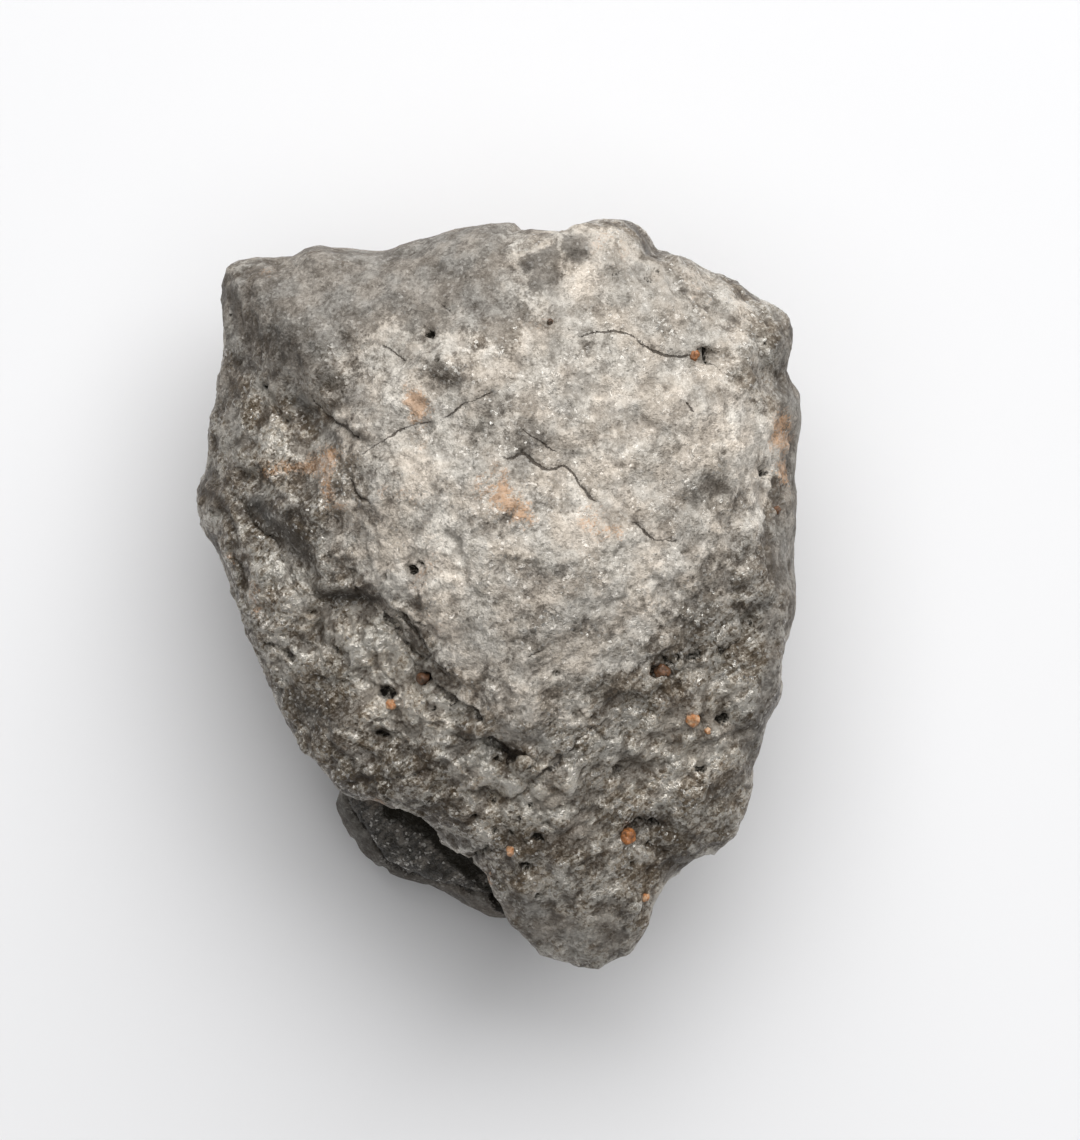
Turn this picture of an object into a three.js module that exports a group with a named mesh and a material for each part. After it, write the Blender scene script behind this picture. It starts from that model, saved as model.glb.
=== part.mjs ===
import * as THREE from 'three';

// A lump of rough black diamond (carbonado), one solid, in millimetres, +Z up.
// It stands on a small worn flat at z = 0; +Y is its long way, the dusty weathered face is on top.
//
// Features are placed on a flat drawing sheet seen from above: one drawing unit is DRAWING_UNIT mm,
// x runs right and y runs down, and (MIDDLE_X, MIDDLE_Y) lies on the stone's vertical axis.

const DRAWING_UNIT = 1 / 30;
const MIDDLE_X = 499;
const MIDDLE_Y = 592;
const CENTRE_HEIGHT = 6.6;
const SETTLE_X = 0.05;
const SETTLE_Y = -0.06;
const EDGE_CRISPNESS = 17;
const PATCH_STEPS = 28;
const TOP_CROWDING = 0.5;
const FLUTE_SLANT = 0.3;
const RECESS_SHARE = 0.28;
const RECESS_POLAR = 99;
const RECESS_SPREAD = 7.5;
const LOBE_POLAR = 119;
const LOBE_SPREAD = 24;
const STONE_COLOUR = '#6f6a63';

// The stone's outline from above, without the lobe below it.
const OUTLINE = [
  [797, 600], [793, 560], [797, 500], [793, 460], [801, 422], [798, 392], [786, 369], [795, 340],
  [793, 318], [778, 308], [752, 293], [735, 282], [714, 276], [695, 260], [667, 248], [655, 247],
  [647, 232], [630, 222], [608, 219], [585, 223], [564, 232], [530, 227], [521, 231], [512, 222],
  [480, 223], [435, 234], [400, 244], [380, 251], [345, 248], [310, 247], [291, 257], [250, 257],
  [230, 265], [221, 294], [225, 311], [222, 370], [209, 422], [206, 455], [198, 487], [201, 512],
  [220, 552], [233, 582], [246, 612], [262, 650], [271, 671], [281, 697], [303, 737], [322, 757],
  [336, 776], [345, 792], [385, 800], [411, 808], [432, 824], [456, 851], [485, 876], [498, 898],
  [506, 923], [528, 942], [551, 951], [577, 961], [603, 963], [631, 946], [645, 918], [653, 893],
  [676, 867], [722, 845], [741, 825], [751, 785], [753, 764], [765, 738], [769, 720], [781, 700],
  [783, 680], [781, 655], [790, 628],
];

// The outer edge of the lobe that stands out low down, under the rim.
const LOBE = [
  [333, 774], [338, 806], [353, 836], [382, 864], [416, 882], [450, 897], [480, 910], [503, 914],
];

// Broad faces: the compass way each one looks, its tilt from straight up, its distance from the centre.
const FACES = [
  { name: 'dusty top', azimuth: 45, tilt: 9, distance: 7.35 },
  { name: 'dark slope', azimuth: 112, tilt: 38, distance: 10.2 },
  { name: 'left slope', azimuth: 172, tilt: 42, distance: 7.6 },
  { name: 'shelf', azimuth: 213, tilt: 33, distance: 6.55 },
  { name: 'pitted slope', azimuth: 308, tilt: 33, distance: 7.45 },
  { name: 'foot', azimuth: 275, tilt: 40, distance: 7.8 },
  { name: 'right flank', azimuth: 5, tilt: 55, distance: 9.9 },
  { name: 'far flank', azimuth: 50, tilt: 50, distance: 11.9 },
  { name: 'corner flank', azimuth: 150, tilt: 62, distance: 11.0 },
  { name: 'base', azimuth: 0, tilt: 180, distance: 6.9 },
  { name: 'under right', azimuth: 22, tilt: 124, distance: 9.0 },
  { name: 'under far', azimuth: 88, tilt: 117, distance: 11.2 },
  { name: 'under corner', azimuth: 148, tilt: 128, distance: 9.6 },
  { name: 'under left', azimuth: 203, tilt: 126, distance: 8.0 },
  { name: 'under foot', azimuth: 266, tilt: 128, distance: 9.6 },
  { name: 'under slope', azimuth: 322, tilt: 122, distance: 8.6 },
];

// Ledges: points of the foot with the high side on the left, as [x, y, drop mm, riser mm]; then reach mm.
const LEDGES = [
  {
    reach: 3.4,
    foot: [
      [226, 486, 0.0, 0.4], [238, 499, 0.2, 0.5], [249, 513, 0.3, 0.5], [261, 528, 0.4, 0.6],
      [275, 540, 0.5, 0.8], [292, 554, 0.65, 1], [306, 572, 0.85, 1], [322, 597, 1.1, 0.8],
      [345, 607, 1.2, 0.6], [365, 606, 1.2, 0.6], [382, 607, 1.05, 0.4], [398, 624, 1.0, 0.4],
      [412, 642, 1.0, 0.4], [424, 657, 1.0, 0.4], [440, 669, 0.6, 0.4], [458, 679, 0.4, 0.4],
      [476, 694, 0.15, 0.4], [486, 706, 0.0, 0.4],
    ],
  },
  {
    reach: 0.9,
    foot: [
      [392, 604, 0.0, 0.4], [404, 614, 0.22, 0.4], [416, 629, 0.25, 0.4], [428, 646, 0.25, 0.4],
      [440, 662, 0.15, 0.4], [446, 668, 0.0, 0.4],
    ],
  },
  {
    reach: 1.3,
    foot: [
      [420, 668, 0.0, 0.4], [430, 682, 0.3, 0.4], [447, 697, 0.4, 0.4], [466, 704, 0.45, 0.4],
      [478, 712, 0.4, 0.4], [485, 722, 0.1, 0.4], [488, 728, 0.0, 0.4],
    ],
  },
  {
    reach: 1.5,
    foot: [
      [470, 728, 0.0, 0.4], [484, 735, 0.5, 0.4], [498, 742, 0.8, 0.4], [510, 750, 0.9, 0.45],
      [520, 764, 0.8, 0.5], [532, 776, 0.5, 0.4], [546, 776, 0.2, 0.4], [556, 768, 0.0, 0.4],
    ],
  },
  {
    reach: 1.6,
    foot: [
      [316, 392, 0.0, 0.4], [325, 410, 0.3, 0.4], [338, 424, 0.35, 0.4], [352, 435, 0.3, 0.4],
      [368, 446, 0.0, 0.4],
    ],
  },
  {
    reach: 0.8,
    foot: [[262, 640, 0.0, 0.4], [276, 645, 0.2, 0.4], [288, 653, 0.2, 0.4], [298, 664, 0.0, 0.4]],
  },
];

// Furrows: points along the bottom, then the half width and the depth in mm.
const FURROWS = [
  { width: 0.28, depth: 0.5, line: [[384, 612], [409, 637], [420, 652], [430, 661], [454, 676]] },
  { width: 0.28, depth: 0.35, line: [[424, 672], [436, 689], [449, 698], [466, 705], [484, 722]] },
  { width: 0.3, depth: 0.55, line: [[482, 735], [495, 741], [508, 748], [516, 752]] },
  { width: 0.28, depth: 0.28, line: [[500, 796], [526, 783], [556, 763], [592, 731], [610, 716]] },
  { width: 0.28, depth: 0.4, line: [[228, 491], [250, 513], [273, 536], [303, 566], [325, 600]] },
  { width: 0.3, depth: 0.3, line: [[322, 600], [345, 608], [366, 607], [384, 610]] },
  { width: 0.28, depth: 0.3, line: [[262, 380], [270, 392], [278, 408], [290, 424]] },
  { width: 0.36, depth: 0.4, line: [[316, 612], [320, 628], [329, 642], [341, 650], [355, 655]] },
  { width: 0.28, depth: 0.35, line: [[236, 462], [246, 472], [252, 480]] },
  { width: 0.28, depth: 0.35, line: [[213, 470], [217, 482], [219, 492]] },
  { width: 0.3, depth: 0.45, line: [[228, 543], [238, 560], [245, 575], [243, 590]] },
  { width: 0.3, depth: 0.35, line: [[690, 358], [707, 358], [716, 368]] },
  { width: 0.25, depth: 0.35, line: [[757, 330], [756, 352], [764, 370], [776, 382], [780, 398]] },
  { width: 0.28, depth: 0.25, line: [[674, 655], [664, 663], [672, 682], [676, 700]] },
  { width: 0.28, depth: 0.25, line: [[716, 655], [722, 646], [740, 628], [752, 612]] },
];

// Knobs stand up and hollows (negative) sink in: [x, y, half length, half width, turn degrees, height mm].
const KNOBS = [
  [282, 592, 38, 30, 60, 0.55], [352, 626, 26, 20, 20, 0.3], [282, 655, 22, 18, 0, 0.25],
  [240, 540, 30, 15, -60, 0.4], [252, 442, 26, 24, 0, 0.5], [312, 375, 30, 14, -50, 0.25],
  [262, 360, 24, 12, -55, 0.25], [222, 510, 16, 22, 0, 0.35], [345, 745, 35, 28, 30, 0.3],
  [400, 770, 34, 24, -20, 0.25], [450, 765, 28, 20, -35, 0.35], [412, 712, 36, 28, -30, 0.25],
  [300, 510, 30, 22, 10, 0.3], [610, 245, 45, 26, 0, 0.35], [780, 335, 14, 30, 0, 0.5],
  [758, 402, 13, 14, 0, 0.2], [787, 400, 14, 28, 0, 0.35], [590, 925, 50, 36, 20, 0.35],
  [520, 900, 26, 24, 0, 0.2], [700, 790, 40, 36, 30, 0.25], [560, 835, 50, 30, -20, 0.2],
  [735, 690, 30, 34, 0, 0.25], [250, 285, 30, 24, 0, 0.35], [330, 262, 34, 14, 0, 0.3],
  [470, 245, 46, 18, 10, 0.3], [530, 765, 24, 12, -25, 0.3], [500, 690, 40, 24, -30, 0.2],
  [780, 600, 14, 26, 0, 0.3], [775, 680, 12, 24, 0, 0.3], [520, 520, 110, 80, 20, 0.35],
  [492, 786, 16, 14, 0, -0.45], [305, 400, 34, 28, -50, -0.55], [505, 752, 16, 11, 30, -0.4],
  [700, 372, 40, 16, -10, -0.25], [560, 460, 60, 22, -30, -0.18], [400, 450, 60, 22, 20, -0.2],
  [640, 830, 26, 16, 0, -0.3], [720, 720, 18, 18, 0, -0.2], [660, 668, 14, 12, 0, -0.3],
  [280, 480, 30, 16, 10, -0.35], [310, 700, 34, 30, 30, -0.35], [360, 760, 20, 30, 0, -0.2],
  [650, 720, 60, 40, 30, -0.2], [600, 310, 80, 30, -20, -0.15],
];

// Swells that cover the whole stone: wavelength and height in mm.
const BROAD_SWELL = { length: 6.5, height: 0.26 };
const CREASED_SWELL = { length: 3.2, height: 0.12 };
const FINE_SWELL = { length: 1.5, height: 0.05 };

const DEGREE = Math.PI / 180;

function sheetX(x) {
  return (x - MIDDLE_X) * DRAWING_UNIT;
}

function sheetY(y) {
  return (MIDDLE_Y - y) * DRAWING_UNIT;
}

function ease(from, to, value) {
  const t = Math.min(1, Math.max(0, (value - from) / (to - from)));
  return t * t * (3 - 2 * t);
}

function facing(azimuth, tilt) {
  const a = azimuth * DEGREE;
  const t = tilt * DEGREE;
  return [Math.sin(t) * Math.cos(a), Math.sin(t) * Math.sin(a), Math.cos(t)];
}

// Azimuth and radius of each point of an outline, in order of azimuth.
function polarKnots(points) {
  const knots = points.map(([x, y]) => {
    const px = sheetX(x);
    const py = sheetY(y);
    const azimuth = (Math.atan2(py, px) / DEGREE + 360) % 360;
    return [azimuth, Math.hypot(px, py)];
  });
  return knots.sort((a, b) => a[0] - b[0]);
}

// Smooth radius between knots, with each slope taken from the two neighbours.
function radiusAt(knots, azimuth) {
  let k = 0;
  while (k < knots.length - 2 && azimuth > knots[k + 1][0]) k += 1;
  const before = knots[Math.max(0, k - 1)];
  const start = knots[k];
  const stop = knots[k + 1];
  const after = knots[Math.min(knots.length - 1, k + 2)];
  const span = stop[0] - start[0];
  const t = Math.min(1, Math.max(0, (azimuth - start[0]) / span));
  const slopeA = (stop[1] - before[1]) / (stop[0] - before[0]);
  const slopeB = (after[1] - start[1]) / (after[0] - start[0]);
  const a = (2 * t ** 3 - 3 * t ** 2 + 1) * start[1];
  const b = (t ** 3 - 2 * t ** 2 + t) * span * slopeA;
  const c = (-2 * t ** 3 + 3 * t ** 2) * stop[1];
  const d = (t ** 3 - t ** 2) * span * slopeB;
  return a + b + c + d;
}

const outlineTurn = polarKnots(OUTLINE);
const outlineKnots = [
  ...outlineTurn.slice(-2).map(([a, r]) => [a - 360, r]),
  ...outlineTurn,
  ...outlineTurn.slice(0, 2).map(([a, r]) => [a + 360, r]),
];
const lobeKnots = polarKnots(LOBE);
const faceNormals = FACES.map((face) => ({ way: facing(face.azimuth, face.tilt), distance: face.distance }));

// Distance from the centre to the rounded body made of the side wall and all the broad faces.
function bodyRadius(d, side) {
  let total = (Math.hypot(d[0], d[1]) / side) ** EDGE_CRISPNESS;
  for (const { way, distance } of faceNormals) {
    const lean = (d[0] * way[0] + d[1] * way[1] + d[2] * way[2]) / distance;
    if (lean > 0) total += lean ** EDGE_CRISPNESS;
  }
  return total ** (-1 / EDGE_CRISPNESS);
}

// How much each compass way is widened so that the body's widest part meets the outline.
const WIDEN_STEP = 2;
const widening = [];
for (let azimuth = 0; azimuth < 360; azimuth += WIDEN_STEP) {
  const side = radiusAt(outlineKnots, azimuth);
  let reach = 0;
  for (let polar = 60; polar <= 120; polar += 2) {
    const r = bodyRadius(facing(azimuth, polar), side);
    reach = Math.max(reach, r * Math.sin(polar * DEGREE));
  }
  widening.push(side / reach);
}

function widenAt(azimuth) {
  const place = (azimuth / WIDEN_STEP) % widening.length;
  const k = Math.floor(place);
  const t = place - k;
  return widening[k] * (1 - t) + widening[(k + 1) % widening.length] * t;
}

// A lumpy field of about -1 to 1: plane waves whose directions follow a golden-angle spiral.
function waves(p, length, seed, count) {
  let total = 0;
  for (let k = 0; k < count; k += 1) {
    const z = 1 - (2 * (k + 0.5)) / count;
    const turn = 2.399963 * (k + seed * 1.7);
    const s = Math.sqrt(1 - z * z);
    const part = (k * 0.618 + seed * 0.37) % 1;
    const rate = (2 * Math.PI) / (length * (0.75 + 0.5 * part));
    const along = (p[0] * s * Math.cos(turn) + p[1] * s * Math.sin(turn) + p[2] * z) * rate;
    total += Math.sin(along + 5.1 * k * seed + 1.3 * seed);
  }
  return total / Math.sqrt(count);
}

// The same waves bent by longer ones, so that no lump repeats.
function lumpy(p, length, seed) {
  const bend = [11, 23, 37].map((extra) => waves(p, length * 1.3, seed + extra, 5) * length * 0.28);
  return waves([p[0] + bend[0], p[1] + bend[1], p[2] + bend[2]], length, seed, 9);
}

// A smooth curve through points whose first two numbers are sheet places.
function curve(points) {
  const pieces = 6;
  const p = points.map(([x, y, ...rest]) => [sheetX(x), sheetY(y), ...rest]);
  const first = p[0].map((v, i) => 2 * v - p[1][i]);
  const last = p[p.length - 1].map((v, i) => 2 * v - p[p.length - 2][i]);
  const all = [first, ...p, last];
  const out = [];
  for (let i = 1; i < all.length - 2; i += 1) {
    for (let step = 0; step < pieces; step += 1) {
      const t = step / pieces;
      const [a, b, c, d] = [all[i - 1], all[i], all[i + 1], all[i + 2]];
      const even = b.map((v, j) => 2 * v + (c[j] - a[j]) * t);
      const square = b.map((v, j) => (2 * a[j] - 5 * v + 4 * c[j] - d[j]) * t * t);
      const cube = b.map((v, j) => (3 * v - a[j] - 3 * c[j] + d[j]) * t ** 3);
      out.push(even.map((v, j) => 0.5 * (v + square[j] + cube[j])));
    }
  }
  out.push(all[all.length - 2]);
  return out;
}

// Nearest place on a curve: the distance, the side (left is positive), the part run and the carried numbers.
function nearest(x, y, line) {
  let best = Infinity;
  let found = null;
  for (let k = 0; k < line.length - 1; k += 1) {
    const a = line[k];
    const b = line[k + 1];
    const sx = b[0] - a[0];
    const sy = b[1] - a[1];
    const dx = x - a[0];
    const dy = y - a[1];
    const t = Math.min(1, Math.max(0, (dx * sx + dy * sy) / (sx * sx + sy * sy)));
    const distance = Math.hypot(dx - t * sx, dy - t * sy);
    if (distance < best) {
      best = distance;
      found = { k, t, side: Math.sign(sx * dy - sy * dx) };
    }
  }
  const start = line[found.k];
  const stop = line[found.k + 1];
  const carried = start.slice(2).map((v, i) => v + (stop[i + 2] - v) * found.t);
  return { distance: best, side: found.side, run: (found.k + found.t) / (line.length - 1), carried };
}

const ledgeCurves = LEDGES.map(({ foot, reach }) => ({ line: curve(foot), reach }));
const furrowCurves = FURROWS.map(({ line, width, depth }) => ({ line: curve(line), width, depth }));

// Height added to the upper side at a place seen from above.
function relief(x, y) {
  let z = 0;
  for (const { line, reach } of ledgeCurves) {
    const { distance, side, carried: [drop, riser] } = nearest(x, y, line);
    const low = side < 0 ? distance : -distance;
    z -= drop * ease(0, 1, low / riser + 1) * Math.exp(-((Math.max(0, low) / reach) ** 2));
  }
  for (const { line, width, depth } of furrowCurves) {
    const { distance, run } = nearest(x, y, line);
    z -= depth * ease(0, 0.15, run) * ease(1, 0.85, run) * Math.exp(-((distance / width) ** 2));
  }
  for (const [cx, cy, long, wide, turn, height] of KNOBS) {
    const dx = x - sheetX(cx);
    const dy = y - sheetY(cy);
    const c = Math.cos(turn * DEGREE);
    const s = Math.sin(turn * DEGREE);
    const u = (dx * c + dy * s) / (long * DRAWING_UNIT);
    const v = (dy * c - dx * s) / (wide * DRAWING_UNIT);
    z += height * Math.exp(-(u * u + v * v));
  }
  return z;
}

// The stone's surface in one direction from its centre.
function surfacePoint(d) {
  const azimuth = (Math.atan2(d[1], d[0]) / DEGREE + 360) % 360;
  const polar = Math.atan2(Math.hypot(d[0], d[1]), d[2]) / DEGREE;
  const slant = FLUTE_SLANT * (Math.max(0, polar - 98) - Math.max(0, 78 - polar));
  const side = radiusAt(outlineKnots, (azimuth + slant + 360) % 360);
  const r = bodyRadius(d, side);
  const widen = 1 + (widenAt(azimuth) - 1) * ease(20, 60, polar);
  let x = d[0] * r * widen;
  let y = d[1] * r * widen;
  let z = d[2] * r + CENTRE_HEIGHT;

  // The recess under the rim, then the lobe standing out below it.
  if (polar > 80) {
    const recessArc = ease(226, 234, azimuth) * ease(277, 270, azimuth);
    const recess = RECESS_SHARE * recessArc * Math.exp(-(((polar - RECESS_POLAR) / RECESS_SPREAD) ** 2));
    const lobeArc = ease(222, 232, azimuth) * ease(325, 278, azimuth);
    const bulge = Math.sqrt(Math.max(0, 1 - ((polar - LOBE_POLAR) / LOBE_SPREAD) ** 2));
    const lobe = radiusAt(lobeKnots, azimuth) * lobeArc * bulge;
    const out = Math.hypot(x, y);
    const grown = ((out * (1 - recess)) ** 14 + lobe ** 14) ** (1 / 14);
    const scale = grown / Math.max(out, 1e-6);
    x *= scale;
    y *= scale;
  }

  // Swells all over, calmer on the flat top and along the outline.
  const p = [x, y, z];
  const broad = BROAD_SWELL.height * lumpy(p, BROAD_SWELL.length, 1);
  const creased = CREASED_SWELL.height * (1 - Math.abs(lumpy(p, CREASED_SWELL.length, 2))) ** 2;
  const fine = FINE_SWELL.height * (1 - Math.abs(lumpy(p, FINE_SWELL.length, 3))) ** 2;
  const calm = (1 - 0.55 * ease(60, 20, polar)) * (1 - 0.75 * Math.exp(-(((polar - 88) / 16) ** 2)));
  const swell = (broad - creased - fine) * calm;
  x += 0.8 * d[0] * swell;
  y += 0.8 * d[1] * swell;
  z += d[2] * swell;

  z += ease(96, 70, polar) * relief(x, y);
  return [x + SETTLE_X, y + SETTLE_Y, Math.max(0, z)];
}

// Six square patches of directions around the stone, crowded towards the top, welded into one closed skin.
function stoneGeometry() {
  const n = PATCH_STEPS;
  const places = [];
  const indices = [];
  const known = new Map();
  const patches = [
    (u, v) => [u, v, 1],
    (u, v) => [v, u, -1],
    (u, v) => [1, u, v],
    (u, v) => [-1, v, u],
    (u, v) => [v, 1, u],
    (u, v) => [u, -1, v],
  ];
  for (const patch of patches) {
    const grid = [];
    for (let i = 0; i <= n; i += 1) {
      for (let j = 0; j <= n; j += 1) {
        const u = Math.tan(((2 * i) / n - 1) * (Math.PI / 4));
        const v = Math.tan(((2 * j) / n - 1) * (Math.PI / 4));
        const even = new THREE.Vector3(...patch(u, v)).normalize();
        const key = even.toArray().map((c) => Math.round(c * 1e6)).join(' ');
        if (!known.has(key)) {
          known.set(key, places.length / 3);
          even.z += TOP_CROWDING;
          places.push(...surfacePoint(even.normalize().toArray()));
        }
        grid.push(known.get(key));
      }
    }
    for (let i = 0; i < n; i += 1) {
      for (let j = 0; j < n; j += 1) {
        const a = grid[i * (n + 1) + j];
        const b = grid[(i + 1) * (n + 1) + j];
        const c = grid[(i + 1) * (n + 1) + j + 1];
        const e = grid[i * (n + 1) + j + 1];
        indices.push(a, b, c, a, c, e);
      }
    }
  }
  const geometry = new THREE.BufferGeometry();
  geometry.setAttribute('position', new THREE.Float32BufferAttribute(places, 3));
  geometry.setIndex(indices);
  geometry.computeVertexNormals();
  return geometry;
}

const stoneMaterial = new THREE.MeshStandardMaterial({
  color: new THREE.Color(STONE_COLOUR),
  roughness: 0.62,
  metalness: 0,
});

const stone = new THREE.Mesh(stoneGeometry(), stoneMaterial);
stone.name = 'stone';

const group = new THREE.Group();
group.name = 'rough_diamond';
group.add(stone);

export default group;
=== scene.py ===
"""Rough black diamond: one granular, ledged lump of stone on a pale studio floor."""
import functools
import math

import bpy
import numpy as np
from bpy.props import FloatProperty, FloatVectorProperty, IntProperty, PointerProperty
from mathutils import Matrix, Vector


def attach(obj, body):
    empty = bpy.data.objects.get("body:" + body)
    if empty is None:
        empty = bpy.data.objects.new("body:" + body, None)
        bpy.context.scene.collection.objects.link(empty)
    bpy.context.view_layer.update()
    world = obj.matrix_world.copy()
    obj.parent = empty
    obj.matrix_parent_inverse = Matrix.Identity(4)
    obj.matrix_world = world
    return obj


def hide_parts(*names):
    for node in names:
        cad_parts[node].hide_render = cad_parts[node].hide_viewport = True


bl_info = {
    "name": "Rough Black Diamond",
    "version": (1, 0, 0),
    "blender": (4, 5, 0),
    "location": "View3D > Sidebar > Stone",
    "description": "Builds the visible surface of a rough black diamond around its packed frame",
    "category": "Object",
}

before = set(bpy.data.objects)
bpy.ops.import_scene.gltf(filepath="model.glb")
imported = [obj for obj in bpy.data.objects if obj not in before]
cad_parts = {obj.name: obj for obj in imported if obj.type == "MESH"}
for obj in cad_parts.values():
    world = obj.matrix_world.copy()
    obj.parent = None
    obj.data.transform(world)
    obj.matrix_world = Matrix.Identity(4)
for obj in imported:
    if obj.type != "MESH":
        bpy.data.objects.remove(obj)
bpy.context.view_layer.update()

# ---------------------------------------------------------------- sizes (mm unless a name says otherwise)

MM = 0.001
TINY = 1e-6                    # keeps a division from having nothing under it
DRAWING_UNIT = 1 / 30          # one unit of the drawing sheet, seen from above, y down
MIDDLE_X = 499                 # sheet place of the stone's vertical axis
MIDDLE_Y = 592
CENTRE_HEIGHT = 6.6
SETTLE = (0.05, -0.06, 0.0)    # the last small shift that sets the body on its drawn outline
EDGE_CRISPNESS = 17            # power of the mean that joins the broad faces
LOBE_CRISPNESS = 14
TOP_CROWDING = 0.5             # how far the grid's directions are drawn towards the top
FLUTE_SLANT = 0.3              # degrees round for each degree of tilt beyond the flute band
FLUTE_BAND = (78, 98)
WIDEN_FADE = (20, 60)          # tilts between which the widening grows from none to all
UPPER_FADE = (96, 70)          # tilts between which the weight of the upper side grows from 0 to 1

# The recess and the lobe under it, in degrees; the recess, and the alcove of the lobe beneath the overhang,
# are painted black as shade. An arc is in compass ways and a band in tilts from straight up; at its four
# numbers it starts, is full, starts to fade and has faded.
RECESS_SHARE = 0.28
RECESS_POLAR = 99
RECESS_SPREAD = 7.5
RECESS_ARC = (226, 234, 270, 277)
ALCOVE_ARC = (237, 244, 270, 277)
ALCOVE_BAND = (94, 99, 112, 119)
LOBE_POLAR = 119
LOBE_SPREAD = 24
LOBE_ARC = (222, 232, 278, 325)
LOWER_TILT = 80                # neither shows above this tilt

# Swells all over the body, in mm: height and length.
BROAD_SWELL = (0.26, 6.5)
CREASED_SWELL = (0.12, 3.2)
FINE_SWELL = (0.05, 1.5)

# Fine relief: how long each kind is in mm, and how strongly it pushes the skin in or out.
LENGTH = {"big chips": 1.5, "small chips": 0.62, "rolls": 2.6, "nuggets": 1.2, "grain": 0.34,
          "flakes": 0.5, "pits": 0.9, "fray": 0.26, "bend": 0.7}
PUSH = {"big chips": 0.60, "small chips": 0.20, "rolls": 0.30, "nuggets": 0.20, "grain": 0.14,
        "flakes": 0.09, "seams": 0.04, "splits": 0.08, "pits": 0.12, "cracks": 0.10}
CRACK_WIDTH = 0.07

OUTLINE = [
    (796, 600), (791, 560), (795, 500), (793, 460), (801, 422), (798, 392), (785, 370), (791, 342),
    (789, 320), (777, 308), (752, 294), (736, 281), (715, 273), (693, 260), (665, 251), (654, 250),
    (645, 235), (629, 225), (608, 222), (585, 224), (564, 231), (530, 229), (521, 233), (512, 225),
    (480, 227), (435, 234), (399, 241), (379, 247), (343, 246), (308, 246), (290, 255), (250, 255),
    (228, 263), (218, 294), (221, 311), (221, 370), (209, 422), (206, 455), (197, 487), (200, 512),
    (216, 553), (228, 584), (241, 614), (257, 653), (266, 674), (277, 699), (299, 740), (318, 760),
    (332, 779), (343, 792), (384, 800), (411, 808), (432, 824), (456, 851), (485, 876), (497, 902),
    (505, 927), (527, 947), (550, 956), (577, 964), (603, 963), (632, 946), (647, 920), (655, 895),
    (678, 870), (722, 845), (739, 823), (748, 783), (749, 762), (761, 736), (766, 718), (778, 699),
    (781, 680), (781, 655), (790, 628),
]
LOBE = [(330, 776), (335, 808), (350, 838), (380, 867), (414, 887), (448, 903), (480, 916), (503, 918)]

# Broad faces: compass way, tilt from straight up, distance from the centre.
FACES = {
    "dusty top": (45, 9, 7.35),
    "dark slope": (112, 38, 10.2),
    "left slope": (172, 42, 7.6),
    "shelf": (213, 33, 6.55),
    "pitted slope": (308, 33, 7.45),
    "foot": (275, 40, 7.8),
    "right flank": (5, 55, 9.9),
    "far flank": (50, 50, 11.9),
    "corner flank": (150, 62, 11.0),
    "base": (0, 180, 6.9),
    "under right": (22, 124, 9.0),
    "under far": (88, 117, 11.2),
    "under corner": (148, 128, 9.6),
    "under left": (203, 126, 8.0),
    "under foot": (266, 128, 9.6),
    "under slope": (322, 122, 8.6),
}

# Lines that are a furrow with a crack along its bottom.
UPPER_FISSURE = [(383, 607), (400, 611), (409, 622), (419, 633), (427, 645), (433, 655), (440, 664),
                 (452, 673)]
LOWER_FISSURE = [(385, 608), (390, 618), (400, 628), (408, 638), (415, 648), (425, 656), (435, 664)]
FISSURE_END = [(430, 682), (440, 692), (450, 699), (462, 703), (472, 706), (480, 714), (484, 722)]
NOSE_STEP = [(484, 733), (496, 740), (508, 748), (512, 752), (521, 748)]
NOSE_HOOK = [(505, 765), (512, 756), (522, 752), (530, 758), (533, 768)]
CORNER_FOLD = [(316, 394), (325, 409), (336, 422), (352, 434), (366, 445)]
SHELF_FOLD = [(261, 642), (279, 644), (290, 653), (297, 662)]

# Ledges: reach, then points of the foot with the high side on the left as (x, y, drop, riser). Each riser is
# also painted with shade.
LEDGES = [
    (3.4, [(226, 486, 0, .4), (238, 499, .2, .5), (249, 513, .3, .5), (261, 528, .4, .6), (275, 540, .5, .8),
           (292, 554, .65, 1), (306, 572, .85, .9), (318, 590, 1, .6), (331, 596, 1.05, .45),
           (346, 594, 1.1, .32), (363, 594, 1.1, .3), (378, 603, .9, .3), (392, 620, .7, .34),
           (406, 636, .65, .36), (418, 651, .55, .36), (432, 663, .4, .3), (448, 674, .3, .25),
           (466, 690, .12, .3), (482, 706, 0, .3)]),
    (1.3, [(420, 668, 0, .1), (430, 682, .1, .1), (447, 697, .14, .1), (466, 704, .16, .1),
           (478, 712, .14, .1), (485, 722, 0, .1)]),
    (1.3, [(470, 728, 0, .2), (484, 735, .35, .2), (498, 742, .5, .2), (510, 750, .5, .25),
           (518, 762, .45, .3), (528, 774, .35, .2), (540, 777, .2, .2), (552, 768, 0, .2)]),
    (1.6, [(316, 392, 0, .3), (325, 410, .3, .25), (338, 424, .35, .25), (352, 435, .3, .25),
           (368, 446, 0, .3)]),
    (0.8, [(262, 640, 0, .2), (276, 645, .2, .15), (288, 653, .2, .15), (298, 664, 0, .2)]),
]
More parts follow.
